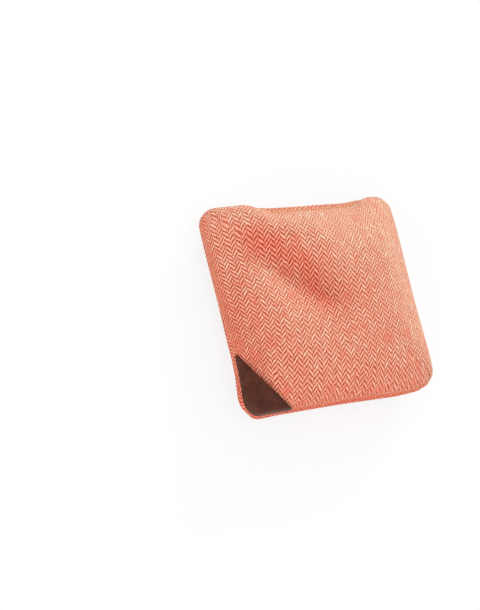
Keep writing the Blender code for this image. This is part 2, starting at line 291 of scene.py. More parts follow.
@dataclass(frozen=True)
class BySide:
    """A factor that is 1 in the bag's middle and has its own value at each side."""

    left: float = 1.0
    right: float = 1.0
    bottom: float = 1.0
    top: float = 1.0

    def at(self, u: Array, v: Array) -> Array:
        """The factor at places given in half sides."""
        towards = ((-u, self.left), (u, self.right), (-v, self.bottom), (v, self.top))
        return math.prod(1 + (value - 1) * np.maximum(0, toward) ** 2 for toward, value in towards)


@dataclass(frozen=True)
class Dome:
    """One filled dome of a sewn layer, before the bag is handled.

    height is over the seam, fullness is 1 for an ellipse and more for a flatter top, pinch is how
    far the wall beside the seam stands out past it, and pinch_kept is how much of that is left at
    a place. by_side is what each side makes of the fullness, left_slope is how much gentler the cloth
    leaves the seam at the left side, and base is how far the seam itself is from the bag's.
    """

    layer: Layer
    half: float
    height: float
    fullness: float
    corner: float = 0.012
    pinch: float = 0.0
    corner_fullness: float = 0.65
    pinch_power: float = 6
    pinch_sharpness: float = 40
    pinch_corner_power: float = 8
    pinch_corner_share: float = 0.35
    by_side: BySide = BySide()
    left_slope: float = 1.0
    slope_corner_power: float = 4
    samples: int = 4000
    pinch_kept: Callable[[Array, Array], Array] | None = None
    base: float = 0.0

    def points(self, u: Array, v: Array) -> Array:
        """The dome's points over the unit square.

        Args:
            u: Places across the unit square.
            v: Places up the unit square.

        Returns:
            Points about the plane of the seam.
        """
        x, y, out_x, out_y = rounded_square(u, v, self.half, self.corner)
        in_u, in_v = 1 - np.minimum(1, u * u), 1 - np.minimum(1, v * v)
        mixed = in_u + in_v - in_u * in_v
        inside = in_u * in_v / np.where(mixed > 0, mixed, 1) ** self.corner_fullness
        on_left = np.maximum(0, -u) ** 2 * (1 - v**self.slope_corner_power)
        filled = inside ** ((1 + (self.left_slope - 1) * on_left) / 2)
        swell = 1 - (1 - filled) ** (self.fullness * self.by_side.at(u, v))
        ring = np.maximum(np.abs(u), np.abs(v))
        bulge = self.pinch * ring**self.pinch_power * (1 - ring**self.pinch_sharpness)
        bulge = bulge * (1 - self.pinch_corner_share * (u * v) ** self.pinch_corner_power)
        if self.pinch_kept:
            bulge = bulge * self.pinch_kept(x, y)
        height = self.layer.value * (self.base + self.height * swell)
        return np.stack([x + bulge * out_x, y + bulge * out_y, height], axis=-1)

    def middle_row(self) -> tuple[Array, Array]:
        """Places from the dome's middle to its right side, and how far the cloth has run at each."""
        share = np.sin(np.linspace(0, math.pi / 2, self.samples))
        return share, run_lengths(self.points(share, np.zeros(self.samples)))

    def even_steps(self, cells: int) -> Array:
        """Lattice lines that lie at even distances over the dome's middle.

        Args:
            cells: How many cells the lattice has, an even number.

        Returns:
            Places from -1 to 1.
        """
        share, reach = self.middle_row()
        right = np.interp(np.linspace(0, reach[-1], cells // 2 + 1), reach, share)
        return np.concatenate([-right[:0:-1], right])

    def lattice(self, cells: int) -> tuple[Array, Array]:
        """A lattice of such lines.

        Args:
            cells: How many cells it has each way, an even number.

        Returns:
            Its places across and up the unit square.
        """
        steps = self.even_steps(cells)
        across, up = np.meshgrid(steps, steps, indexing="ij")
        return across, up

    def flat_half(self) -> float:
        """Half the width that the dome's middle has when it is laid flat."""
        return float(self.middle_row()[1][-1])


@dataclass(frozen=True)
class Fold:
    """A dip or a ridge in the front's cloth, along a line.

    rise is less than zero for a dip. left_width is how far it reaches on the left of the line's run
    and right_width how far on its right.
    """

    line: tuple[Place, ...]
    rise: float
    left_width: float
    right_width: float
    softness: float = 0.0025
    power: float = 1.3

    def heights(self, x: Array, y: Array) -> Array:
        """How far the fold raises the cloth's middle.

        Args:
            x: The points' x.
            y: The points' y.

        Returns:
            The heights.
        """
        nearest, leftness = np.full(x.shape, np.inf), np.zeros(x.shape)
        for start, end in zip(self.line, self.line[1:]):
            run_x, run_y = end[0] - start[0], end[1] - start[1]
            from_line = (run_x * (y - start[1]) - run_y * (x - start[0])) / math.hypot(run_x, run_y)
            away = along_line(x, y, start, end)
            nearer = away < nearest
            nearest = np.where(nearer, away, nearest)
            leftness = np.where(nearer, (1 + from_line / np.maximum(away, 1e-6)) / 2, leftness)
        width = self.right_width + (self.left_width - self.right_width) * leftness
        away = np.hypot(nearest, self.softness) - self.softness
        return self.rise * np.exp(-((away / width) ** self.power))


@dataclass(frozen=True)
class SeamRoll:
    """How the seam of one side rolls towards the front.

    turn is the angle that it turns through, reach is how far in from the seam that begins, and
    relaxed is the share of the front's pinch that it takes away.
    """

    turn: float
    reach: float
    relaxed: float

    def rolled(self, out: Array, height: Array, half: float, share: Array) -> tuple[Array, Array]:
        """Turns points about a line inside the seam.

        Args:
            out: How far the points are out from the bag's middle.
            height: Their heights.
            half: How far out the seam is.
            share: How much of the roll there is at each.

        Returns:
            Their new places out and heights.
        """
        pivot = half - self.reach
        beyond = out - pivot
        angle = self.turn * ease(beyond / self.reach) * share
        cosine, sine = np.cos(angle), np.sin(angle)
        return pivot + beyond * cosine - height * sine, beyond * sine + height * cosine


@dataclass(frozen=True)
class Settling:
    """How the filled bag settles once it is handled: sides draw in and the cloth folds and rolls.

    Lengths are metres, and what ends in share is a place or a distance in half sides, from the
    bag's middle. left_at_corner is the least that the left side's drawing in falls to past its upper
    end, and slump is how much lower the filling stands at the top side and higher at the bottom.
    """

    half: float
    crown: float
    left_draw_in: float = 0.0056
    right_draw_in: float = 0.0008
    bottom_draw_in: float = 0.0008
    top_dip: float = 0.0066
    left_seam_lift: float = 0.0012
    top_roll: SeamRoll = SeamRoll(math.radians(30), 0.008, 0.92)
    left_roll: SeamRoll = SeamRoll(math.radians(12), 0.020, 1.0)
    top_pinch_kept: float = 0.45
    folds: tuple[Fold, ...] = (
        Fold(((-0.068, 0.039), (-0.046, 0.036), (-0.025, 0.011), (-0.002, -0.003)), -0.0054, 0.020, 0.013),
        Fold(((-0.052, 0.036), (-0.025, 0.011), (-0.002, -0.003)), -0.0040, 0.021, 0.030),
        Fold(((-0.044, 0.059), (0.000, 0.050), (0.012, 0.030)), 0.0024, 0.012, 0.011),
        Fold(((-0.066, 0.022), (-0.062, 0.023)), -0.0020, 0.010, 0.010),
        Fold(((0.062, 0.060), (0.057, 0.014)), 0.0016, 0.005, 0.010),
    )
    front_right_pinch: float = 0.35
    front_bottom_pinch: float = 0.75
    front_left_pinch: float = 0.4
    back_right_pinch: float = 0.7
    back_bottom_pinch: float = 1.6
    back_top_pinch: float = 1.80
    back_low_left_pinch: float = 1.6
    left_from_share: float = 0.62
    left_at_corner: float = -0.35
    left_to_share: float = -0.45
    low_left_share: float = -0.55
    low_left_span_share: float = 0.75
    top_from_share: float = -0.60
    top_to_share: float = 0.80
    ease_share: float = 0.34
    side_from_share: float = 0.60
    side_ease_share: float = 0.30
    slump: float = 0.16
    fold_fade: float = 0.003
    edge_power: float = 3
    label_left_leg: float = LABEL_LEFT_LEG
    label_bottom_leg: float = LABEL_BOTTOM_LEG
    label_ease: float = 0.026
    label_opening: float = 0.0011

    def top_share(self, x: Array) -> Array:
        """How far the dip in the top side is developed.

        Args:
            x: Places along the top side.

        Returns:
            Numbers from 0 to 1.
        """
        share = x / self.half
        opening = ease((share - self.top_from_share) / self.ease_share)
        return opening * ease((self.top_to_share - share) / self.ease_share)

    def low_left(self, y: Array) -> Array:
        """How far the lower half of the left side is rolled at its places y, from 0 to 1."""
        return hump((y / self.half - self.low_left_share) / self.low_left_span_share)

    def at_label(self, x: Array, y: Array) -> Array:
        """How far the seam is opened by the label at the points, from 0 to 1."""
        past = (x + self.half) / self.label_bottom_leg + (y + self.half) / self.label_left_leg - 1
        return ease(1 - past * self.label_left_leg / self.label_ease)

    def by_sides(self, x: Array, y: Array, left: Wide, right: Wide, bottom: Wide, top: Wide) -> Array:
        """A factor that is 1 in the middle and has its own value near each side.

        Args:
            x: The points' x.
            y: The points' y.
            left: Its value near the left side.
            right: Its value near the right side.
            bottom: Its value near the bottom.
            top: Its value near the top.

        Returns:
            The factor at each point.
        """
        factor = 1.0
        for toward, value in ((-x, left), (x, right), (-y, bottom), (y, top)):
            near = ease((toward / self.half - self.side_from_share) / self.side_ease_share)
            factor = factor * (1 + (value - 1) * near)
        return factor

    def pinch_kept(self, x: Array, y: Array) -> Array:
        """How much of the pinch the front has.

        Args:
            x: The points' x.
            y: The points' y.

        Returns:
            Factors of the pinch.
        """
        top = self.top_pinch_kept * (1 - self.top_share(x) * self.top_roll.relaxed)
        left = self.front_left_pinch * (1 - self.low_left(y) * self.left_roll.relaxed)
        return self.by_sides(x, y, left, self.front_right_pinch, self.front_bottom_pinch, top)

    def back_pinch_kept(self, x: Array, y: Array) -> Array:
        """How much of the pinch the back has.

        Args:
            x: The points' x.
            y: The points' y.

        Returns:
            Factors of the pinch.
        """
        left = 1 + (self.back_low_left_pinch - 1) * self.low_left(y)
        top = 1 + (self.back_top_pinch - 1) * self.top_share(x)
        return self.by_sides(x, y, left, self.back_right_pinch, self.back_bottom_pinch, top)

    def settled(self, points: Array) -> Array:
        """Where points of the evenly filled bag go.

        Args:
            points: Points about the plane of the seam.

        Returns:
            The settled points.
        """
        x, y, z = points[..., 0], points[..., 1], points[..., 2]
        u, v = x / self.half, y / self.half
        span = self.left_from_share - self.left_to_share
        upward = np.clip((self.left_from_share - v) / span, self.left_at_corner, 1)
        left = np.maximum(0, -u) ** self.edge_power * upward
        right = np.maximum(0, u) ** self.edge_power * hump(v)
        bottom = np.maximum(0, -v) ** self.edge_power * hump(u)
        top = np.maximum(0, v) ** self.edge_power * self.top_share(x)
        folded = sum(fold.heights(x, y) for fold in self.folds) / self.crown
        slumped = (folded - self.slump * v) * ease(z / self.fold_fade)
        upper = z * (1 + slumped) + self.label_opening * self.at_label(x, y)
        height = np.where(z > 0, upper, z)
        up, height = self.top_roll.rolled(y, height, self.half, self.top_share(x))
        leftward, height = self.left_roll.rolled(-x, height, self.half, self.low_left(y))
        return np.stack(
            [
                -leftward + self.left_draw_in * left - self.right_draw_in * right,
                up + self.bottom_draw_in * bottom - self.top_dip * top,
                height + self.left_seam_lift * left,
            ],
            axis=-1,
        )


@dataclass(frozen=True)
class Inflation:
    """The cloth simulation that fills a sewn shell.

    growth is how much more cloth there is than the seam lets lie flat, which puckers it. share is
    how much of the movement is kept, and reach is as far as a point may move.
    """

    pressure: float = 4.0
    frames: int = 20
    growth: float = 0.02
    share: float = 0.5
    reach: float = 0.0016
    quality: int = 5

    def run(self, points: Array, faces: Array, pinned: Array, free: Array) -> Array:
        """Fills the shell.

        Args:
            points: The shell's points.
            faces: Four point indices for each face.
            pinned: The indices of the seam's points, which stay.
            free: The share of its movement that each point keeps.

        Returns:
            The filled shell's points.
        """
        mesh = bpy.data.meshes.new("shell_start")
        mesh.from_pydata(points.tolist(), [], faces.tolist())
        shell = bpy.data.objects.new("shell_start", mesh)
        bpy.context.scene.collection.objects.link(shell)
        shell.vertex_groups.new(name="seam").add(pinned.tolist(), 1.0, "REPLACE")
        cloth = shell.modifiers.new("Cloth", "CLOTH")
        cloth.settings.vertex_group_mass = "seam"
        cloth.settings.use_pressure = True
        cloth.settings.uniform_pressure_force = self.pressure
        cloth.settings.shrink_min = -self.growth
        cloth.settings.quality = self.quality
        cloth.settings.effector_weights.gravity = 0
        scene = bpy.context.scene
        for step in range(1, self.frames + 1):
            scene.frame_set(step)
        filled = np.zeros(len(points) * 3, np.float32)
        shape = shell.evaluated_get(bpy.context.evaluated_depsgraph_get())
        shape.data.vertices.foreach_get("co", filled)
        scene.frame_set(1)
        bpy.data.objects.remove(shell, do_unlink=True)
        moved = (filled.reshape(-1, 3) - points) * self.share * free[:, None]
        far = np.linalg.norm(moved, axis=1, keepdims=True)
        log.info("the filled shell moves by %.1f mm at most", 1000 * far.max())
        return points + moved * np.minimum(1, self.reach / np.maximum(far, 1e-9))


# Meshes


def new_piece(name: str, points: Array, faces: Sequence[Sequence[int]]) -> bpy.types.Object:
    """Makes a smooth shaded mesh piece.

    Args:
        name: The piece's name.
        points: Its points, in the bag's frame.
        faces: The point indices of each face.

    Returns:
        The piece, in the scene.
    """
    mesh = bpy.data.meshes.new(name)
    mesh.from_pydata(np.asarray(points, float).tolist(), [], [list(face) for face in faces])
    mesh.shade_smooth()
    piece = bpy.data.objects.new(name, mesh)
    bpy.context.scene.collection.objects.link(piece)
    return piece


def add_map(piece: bpy.types.Object, name: str, corners: Array) -> None:
    """Gives a piece a UV map.

    Args:
        piece: The piece.
        name: The map's name.
        corners: The two coordinates of each face corner, in the order of the piece's faces.
    """
    layer = piece.data.uv_layers.new(name=name, do_init=False)
    layer.uv.foreach_set("vector", corners.astype(np.float32).ravel())


def add_values(piece: bpy.types.Object, name: str, values: Array) -> None:
    """Gives each point of a piece a number that its finish can read.

    Args:
        piece: The piece.
        name: The attribute's name.
        values: One number for each point.
    """
    attribute = piece.data.attributes.new(name, "FLOAT", "POINT")
    attribute.data.foreach_set("value", values.astype(np.float32).ravel())


def placed(piece: bpy.types.Object, slot: str, *nodes: str) -> bpy.types.Object:
    """Puts a finished piece on the bag in place of its plain solids, and reports it.

    Args:
        piece: The piece.
        slot: Not used.
        *nodes: The solids that it stands for.

    Returns:
        The piece.
    """
    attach(piece, BODY)
    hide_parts(*nodes)
    log.info("%s stands for %s", piece.name, ", ".join(nodes))
    return piece


# Woven cloth


@dataclass(frozen=True)
class Wave:
    """A slow wave over the flat cloth, with its lengths across and up in metres."""

    share: float
    across: float
    up: float
    start: float = 0.0

    def at(self, flat: Array) -> Array:
        """The wave's heights at places on the flat cloth."""
        turn = flat * math.tau
        return self.share * np.sin(turn[..., 0] / self.across + turn[..., 1] / self.up + self.start)


@dataclass(frozen=True)
class ClothLie:
    """How the cloth is pulled out of true, in shares of its half width.

    finer is how much closer its columns lie everywhere, and crowding how much closer still towards
    the right. lean is how far they lean to the right, and bow how far they bend. fall is how far its
    rows fall towards the right, fan how much more they fall at the top, and sag how far their ends
    hang. side_crowding is how much closer the rows lie at the sides, and end_spread how much
    further apart at the top and the bottom. sway is how far, in metres, the waves move its lines.
    """

    finer: float = 0.065
    crowding: float = 0.11
    lean: float = 0.09
    bow: float = 0.075
    fall: float = 0.08
    fan: float = 0.04
    sag: float = 0.03
    side_crowding: float = 0.17
    end_spread: float = 0.06
    sway: float = 0.0002
    waves_across: tuple[Wave, ...] = (Wave(1.0, 0.21, 0.083, 1.3), Wave(0.4, -0.12, 0.036))
    waves_up: tuple[Wave, ...] = (Wave(1.0, 0.071, 0.17, 0.4), Wave(0.6, 0.027, 0.09, 2.0))

    def pulled(self, x: Array, y: Array) -> Array:
        """How far the weave's lines move.

        Args:
            x: Places across the cloth, from -1 to 1.
            y: Places up the cloth, from -1 to 1.

        Returns:
            The two moves for each place.
        """
        across = self.finer * x + self.crowding * x**2 - self.lean * y + self.bow * y**2
        up = self.side_crowding * x**2 * y - self.end_spread * y**3 - self.fall * x - self.fan * x * y
        return np.stack([across, up - self.sag * (x**2 + y**2)], axis=-1)

    def in_weave(self, flat: Array, half: float) -> Array:
        """Where places on the cloth lie in the weave, whose lines are pulled and sway a little.

        Args:
            flat: Places on the flat cloth.
            half: Half the cloth's width.

        Returns:
            Places in the weave.
        """
        place = flat / half
        pulled = half * self.pulled(place[..., 0], place[..., 1])
        swayed = [sum(wave.at(flat) for wave in waves) for waves in (self.waves_across, self.waves_up)]
        return flat + pulled + self.sway * np.stack(swayed, axis=-1)


@dataclass(frozen=True)
class Weave:
    """The herringbone: columns of slanting strokes that turn back at each column's edge."""

    column: float = 0.00366
    repeat: float = 0.00375
    slant: float = 1.235
    stagger: float = 0.5
    light_share: float = 0.52
    end_ease: float = 0.07
    relief: float = 0.00024

    def height(self, across: Array, up: Array) -> Array:
        """How far the strokes stand out.

        Args:
            across: Places across the cloth.
            up: Places along the cloth's columns.

        Returns:
            Heights from 0 to the relief.
        """
        place = across / self.column
        odd = np.floor(place) % 2
        within = place - np.floor(place) - 0.5
        rise = (1 - 2 * odd) * within * self.slant * self.column / self.repeat
        phase = up / self.repeat + rise + self.stagger * odd
        stroke = np.abs(phase - np.floor(phase) - 0.5) * 2
        body = np.clip(1 - stroke / self.light_share, 0, 1)
        ends = ease((0.5 - np.abs(within)) / self.end_ease)
        return self.relief * np.sqrt(body) * ends


@dataclass(frozen=True)
class PaintedLight:
    """Painted light and shade over a panel, from about 0, painted shade, to about 1, painted highlight.

    by_slope is how it follows the cloth's slope, across and up, lighter where the cloth faces the
    key light. by_place is how it changes across the cloth, up it and with both. by_depth is how much
    painted shade the folds get, and a line along the front's valley gets more painted shade. The
    back is painted darker towards its bottom.
    """

    in_middle: float = 0.71
    by_slope: tuple[float, float] = (0.58, 0.13)
    by_place: tuple[float, float, float] = (0.01, 0.27, 0.06)
    by_depth: float = 5.0
    valley_shade: Fold = Fold(
        ((-0.042, 0.046), (-0.030, 0.038), (-0.013, 0.022), (-0.004, 0.000)), -0.56, 0.0085, 0.0115
    )
    on_back: float = 0.37
    up_the_back: float = 0.30

    def on_front(self, place: Array, skin: Array, slope: Array, folds: Sequence[Fold]) -> Array:
        """Painted light and shade over the front: lighter where it faces the key light, darker in its folds.

        Args:
            place: The skin's places on the cloth, in half sides from its middle.
            skin: The skin's lattice.
            slope: How far the skin leans across and up at each of its points.
            folds: The folds in the skin.

        Returns:
            One number for each place.
        """
        x, y = skin[..., 0], skin[..., 1]
        turned = np.column_stack([place, place[:, 0] * place[:, 1]])
        depth = sum((fold.heights(x, y) for fold in folds), np.zeros(x.shape))
        lying = slope @ np.array(self.by_slope) + turned @ np.array(self.by_place)
        return self.in_middle + lying + (self.by_depth * depth + self.valley_shade.heights(x, y)).ravel()


@dataclass
class ClothPanel:
    """One cloth panel: a fine outer skin, its allowance past the seam, and an inner skin.

    The allowance is turned in, or left outside where it is less than zero. In the baked picture
    the outer skin fills a square of baked_side, and the inner skin and the hem lie in a strip that
    starts at strip_at and is strip_side wide.
    """

    name: str
    layer: Layer
    shape: Array
    flat_half: float
    thickness: float
    allowance: float
    lift: float
    factor: int = 4
    weave: Weave | None = None
    lie: ClothLie = ClothLie()
    # Painted light and shade over the panel's cloth.
    painted_light: PaintedLight = PaintedLight()
    folds: tuple[Fold, ...] = ()
    seam_gap: float = 0.00015
    relief_ease: float = 0.0016
    # How far the painted orange seam shade reaches in from the seam.
    seam_shade_reach: float = 0.0022
    baked_side: float = 0.94
    strip_at: float = 0.96
    strip_side: float = 0.045

    def skin(self) -> Array:
        """The outer skin without its weave, as a fine lattice."""
        return finer(self.shape, self.factor)

    def outward(self, grid: Array) -> Array:
        """The directions out of the bag over a lattice."""
        return self.layer.value * normals(grid)

    def flat_places(self, cells: int) -> Array:
        """Where each lattice point lies on the cloth when it is flat, from the cloth's middle."""
        steps = np.linspace(-self.flat_half, self.flat_half, cells + 1)
        return np.stack(np.meshgrid(steps, steps, indexing="ij"), axis=-1)

    def painted_light_at(self, place: Array) -> Array:
        """Painted light and shade over the panel; on the back it is darker towards the bottom.

        Args:
            place: The skin's places on the cloth, in half sides from its middle.

        Returns:
            Numbers from about 0, painted shade, to about 1, painted highlight.
        """
        if self.layer is Layer.BACK:
            return self.painted_light.on_back + self.painted_light.up_the_back * place[:, 1]
        skin = self.skin()
        slope = self.outward(skin)[..., :2].reshape(-1, 2)
        return self.painted_light.on_front(place, skin, slope, self.folds)

    def woven_skin(self) -> Array:
        """The outer skin with the weave standing out of it, laid flat on the ground.

        Returns:
            Its fine lattice.
        """
        skin = self.skin()
        if self.weave:
            flat = self.flat_places(skin.shape[0] - 1)
            from_seam = self.flat_half - np.abs(flat).max(axis=2)
            woven = self.lie.in_weave(flat, self.flat_half)
            relief = self.weave.height(woven[..., 0], woven[..., 1]) * ease(from_seam / self.relief_ease)
            skin = skin + self.outward(skin) * relief[..., None]
        skin[..., 2] = np.maximum(skin[..., 2], -self.lift)
        return skin

    def hem_ring(self, ring: Array, inset: float, above: float) -> Array:
        """The seam's ring drawn in towards the bag's middle and raised off the seam.

        Args:
            ring: The seam's points.
            inset: How far it is drawn in.
            above: How far it is raised, away from the other panel.

        Returns:
            The moved ring.
        """
        flat = ring[:, :2]
        reach = np.abs(flat).max(axis=1, keepdims=True)
        drawn = flat * (1 - inset / reach)
        return np.column_stack([drawn, ring[:, 2] + self.layer.value * above])

    def build(self) -> bpy.types.Object:
        """Builds the panel.

        Returns:
            The piece, one closed body.
        """
        coarse = self.shape.shape[0] - 1
        fine = coarse * self.factor
        outer = self.woven_skin().reshape(-1, 3)
        inner = (self.shape - self.outward(self.shape) * self.thickness).reshape(-1, 3)
        seam = self.shape.reshape(-1, 3)[rim(coarse)]
        above = math.copysign(self.thickness, self.allowance)
        inner[rim(coarse)] = self.hem_ring(seam, max(0, above), above)
        under = self.hem_ring(seam, self.allowance, 0)
        over = self.hem_ring(seam, self.allowance, above)
        points = np.concatenate([outer, inner, under, over])
        points[:, 2] += self.layer.value * self.seam_gap + self.lift

        piece = new_piece(self.name, points, self.faces(coarse))
        corners = np.zeros(len(piece.data.loops), np.int32)
        piece.data.loops.foreach_get("vertex_index", corners)
        self.add_maps(piece, corners, fine, coarse)
        return piece

    def faces(self, coarse: int) -> list[list[int]]:
        """The panel's faces: its outer skin, the hem in three rings, and its inner skin.

        Args:
            coarse: How many cells its inner skin has each way.

        Returns:
            The point indices of each face.
        """
        fine, ring_size = coarse * self.factor, 4 * coarse
        inner_at = (fine + 1) ** 2
        under_at = inner_at + (coarse + 1) ** 2
        over_at = under_at + ring_size
        around = np.arange(ring_size)
        following = (around + 1) % ring_size
        inner_rim = inner_at + rim(coarse)
        edge = np.stack([following + under_at, around + under_at, around + over_at, following + over_at], 1)
        top = np.stack([following + over_at, around + over_at, inner_rim[around], inner_rim[following]], 1)
        faces = quads(fine).tolist() + self.fans(rim(fine), under_at + around)
        faces += edge.tolist() + top.tolist() + (inner_at + quads(coarse)[:, ::-1]).tolist()
        if self.layer is Layer.BACK:
            faces = [face[::-1] for face in faces]
        return faces

    def fans(self, ring: Array, hem: Array) -> list[list[int]]:
        """The faces between the outer skin's rim and the coarser ring of the hem under it.

        Args:
            ring: The indices of the rim's points.
            hem: The indices of the hem's points.

        Returns:
            The point indices of each face.
        """
        middle = self.factor // 2
        fans: list[list[int]] = []
        for step, here in enumerate(hem):
            there = hem[(step + 1) % len(hem)]
            marks = [ring[(step * self.factor + part) % len(ring)] for part in range(self.factor + 1)]
            for part in range(self.factor):
                fans.append([marks[part + 1], marks[part], here if part < middle else there])
                if part == middle - 1:
                    fans.append([marks[middle], here, there])
        return fans

    def add_maps(self, piece: bpy.types.Object, corners: Array, fine: int, coarse: int) -> None:
        """Gives the panel its two maps, its nearness to the seam for the painted seam shade, and its painted
        light and shade.

        Args:
            piece: The panel.
            corners: The point index of each face corner.
            fine: How many cells its outer skin has each way.
            coarse: How many cells its inner skin has each way.
        """
        outer, inner = self.flat_places(fine).reshape(-1, 2), self.flat_places(coarse).reshape(-1, 2)
        hem = inner[rim(coarse)] * (1 + self.allowance / self.flat_half)
        cloth = np.concatenate([outer, inner, hem, hem])
        add_map(piece, CLOTH_MAP, self.lie.in_weave(cloth, self.flat_half)[corners])
        add_map(piece, BAKE_MAP, self.bake_places(corners, outer, inner, fine, coarse))
        piece.data.uv_layers[CLOTH_MAP].active_render = True

        from_seam = self.flat_half - np.abs(cloth).max(axis=1)
        # Nearness to the seam, which the finish turns into painted orange shade along the seam's groove.
        add_values(piece, "painted_seam_shade", np.exp(-np.maximum(from_seam, 0) / self.seam_shade_reach))
        # Painted light and shade for the outer skin; the hem and the inner skin take the back's even value.
        painted_light = np.clip(self.painted_light_at(outer / self.flat_half), 0, 1)
        add_values(piece, "painted_light", np.concatenate([painted_light, np.full(len(cloth) - len(outer), self.painted_light.on_back)]))

    def bake_places(self, corners: Array, outer: Array, inner: Array, fine: int, coarse: int) -> Array:
        """Where the panel's face corners lie in its baked picture.

        Args:
            corners: The point index of each face corner.
            outer: Flat places of the outer skin's points.
            inner: Flat places of the inner skin's points.
            fine: How many cells the outer skin has each way.
            coarse: How many cells the inner skin has each way.

        Returns:
            Two places from 0 to 1 for each corner.
        """
        side, strip, small = self.baked_side, self.strip_at, self.strip_side
        skin_count, inner_end = len(outer), len(outer) + len(inner)
        square = (outer / self.flat_half + 1) / 2 * side
        patch = (inner / self.flat_half + 1) / 2 * small + (strip, 0)
        around = np.arange(4 * coarse) / (4 * coarse) * side
        hem_low = np.column_stack([around, np.full(len(around), strip)])
        hem_high = np.column_stack([around, np.full(len(around), strip + small / 2)])
        baked = np.concatenate([square, patch, hem_low, hem_high])[corners]

        on_hem = np.arange(4 * fine * fine, len(corners) - 4 * coarse * coarse)
        marks = corners[on_hem]
        places = np.empty(inner_end)
        places[rim(fine)] = np.arange(4 * fine) / (4 * fine) * side
        places[skin_count + rim(coarse)] = around
        on_skin, on_inner = marks < skin_count, (marks >= skin_count) & (marks < inner_end)
        for here, height in ((on_skin, strip - small / 4), (on_inner, strip + small * 3 / 4)):
            baked[on_hem[here]] = np.column_stack([places[marks[here]], np.full(here.sum(), height)])
        return baked


# Finishes


@dataclass(frozen=True)
class Range:
    """A range of numbers, and what its start and its end become."""

    low: float
    high: float
    to_low: float = 0.0
    to_high: float = 1.0


class Wiring:
    """A tree of nodes that are laid and wired by name."""

    def __init__(self, tree: bpy.types.NodeTree) -> None:
        """Takes up a tree."""
        self.tree = tree

    def lay(self, kind: str, wires: Wires | None = None, **settings: str) -> bpy.types.Node:
        """Lays a node.

        Args:
            kind: The node's type.
            wires: What goes into its inputs, a socket or a constant for each.
            **settings: The node's own settings.

        Returns:
            The node.
        """
        node = self.tree.nodes.new(kind)
        for name, value in settings.items():
            setattr(node, name, value)
        for name, value in (wires or {}).items():
            self.feed(node.inputs[name], value)
        return node

    def feed(self, target: Socket, value: Wire | tuple) -> None:
        """Wires a socket into an input, or sets a constant there.

        Args:
            target: The input.
            value: A socket or a constant.
        """
        if isinstance(value, Socket):
            self.tree.links.new(value, target)
        else:
            target.default_value = value

    def math(self, operation: str, *numbers: Wire) -> Socket:
        """One step of arithmetic, under Blender's name for it."""
        return self.lay("ShaderNodeMath", dict(enumerate(numbers)), operation=operation).outputs[0]

    def seen(self) -> Socket:
        """Tells what the camera or a reflection looks at from what only gives light.

        Returns:
            One for the first and zero for the second.
        """
        rays = self.lay("ShaderNodeLightPath").outputs
        seen = self.math("MAXIMUM", rays["Is Camera Ray"], rays["Is Glossy Ray"])
        return self.math("MAXIMUM", seen, rays["Is Transmission Ray"])


class Board(Wiring):
    """A material whose nodes are laid and wired by name."""

    def __init__(self, name: str) -> None:
        """Starts a material with a Principled shader.

        Args:
            name: The material's name.
        """
        self.material = bpy.data.materials.new(name)
        self.material.use_nodes = True
        super().__init__(self.material.node_tree)
        self.shader = self.tree.nodes["Principled BSDF"]

    def place(self) -> Socket:
        """The places on the piece itself."""
        return self.lay("ShaderNodeTexCoord").outputs["Object"]

    def value(self, attribute: str) -> Socket:
        """The number that the piece's points carry under a name."""
        return self.lay("ShaderNodeAttribute", attribute_name=attribute).outputs["Fac"]

    def ramp(self, value: Wire, span: Range) -> Socket:
        """Carries a range of numbers smoothly to another and holds it at its ends."""
        wires = {0: value, 1: span.low, 2: span.high, 3: span.to_low, 4: span.to_high}
        return self.lay("ShaderNodeMapRange", wires, interpolation_type="SMOOTHSTEP").outputs[0]

    def weighed(self, share: float, first: Wire, second: Wire) -> Socket:
        """The sum of two numbers, the first by what the second one's share leaves."""
        return self.math("ADD", self.math("MULTIPLY", first, 1 - share), self.math("MULTIPLY", second, share))

    def mix(self, share: Wire, first: Wire | tuple, second: Wire | tuple, how: str = "MIX") -> Socket:
        """Mixes two colours.

        Args:
            share: How much of the second colour there is.
            first: The first colour.
            second: The second colour.
            how: Blender's name for the way they are mixed.

        Returns:
            The mixed colour.
        """
        node = self.lay("ShaderNodeMix", data_type="RGBA", blend_type=how)
        self.feed(node.inputs["Factor"], share)
        for index, colour in ((6, first), (7, second)):
            self.feed(node.inputs[index], colour if isinstance(colour, Socket) else (*colour, 1))
        return node.outputs[2]

    def noise(self, place: Socket, scale: float, detail: float = 2.0) -> Socket:
        """Smooth noise of about 0 to 1: scale is its bumps in a metre, detail its finer layers."""
        wires = {"Vector": place, "Scale": scale, "Detail": detail}
        return self.lay("ShaderNodeTexNoise", wires).outputs["Fac"]

    def set(self, **constants: float | tuple) -> None:
        """Sets constants on the shader's own inputs, with _ for each space in their names."""
        for name, value in constants.items():
            self.shader.inputs[name.replace("_", " ")].default_value = value

    def surface(self, colour: Socket, roughness: Wire, height: Socket, depth: float) -> None:
        """Wires a colour, a roughness and a height into the shader.

        Args:
            colour: The colour.
            roughness: The roughness.
            height: The height of the surface, from 0 to 1.
            depth: How many metres that is.
        """
        bump = self.lay("ShaderNodeBump", {"Height": height, "Distance": depth, "Strength": 1.0})
        self.feed(self.shader.inputs["Base Color"], colour)
        self.feed(self.shader.inputs["Roughness"], roughness)
        self.feed(self.shader.inputs["Normal"], bump.outputs["Normal"])


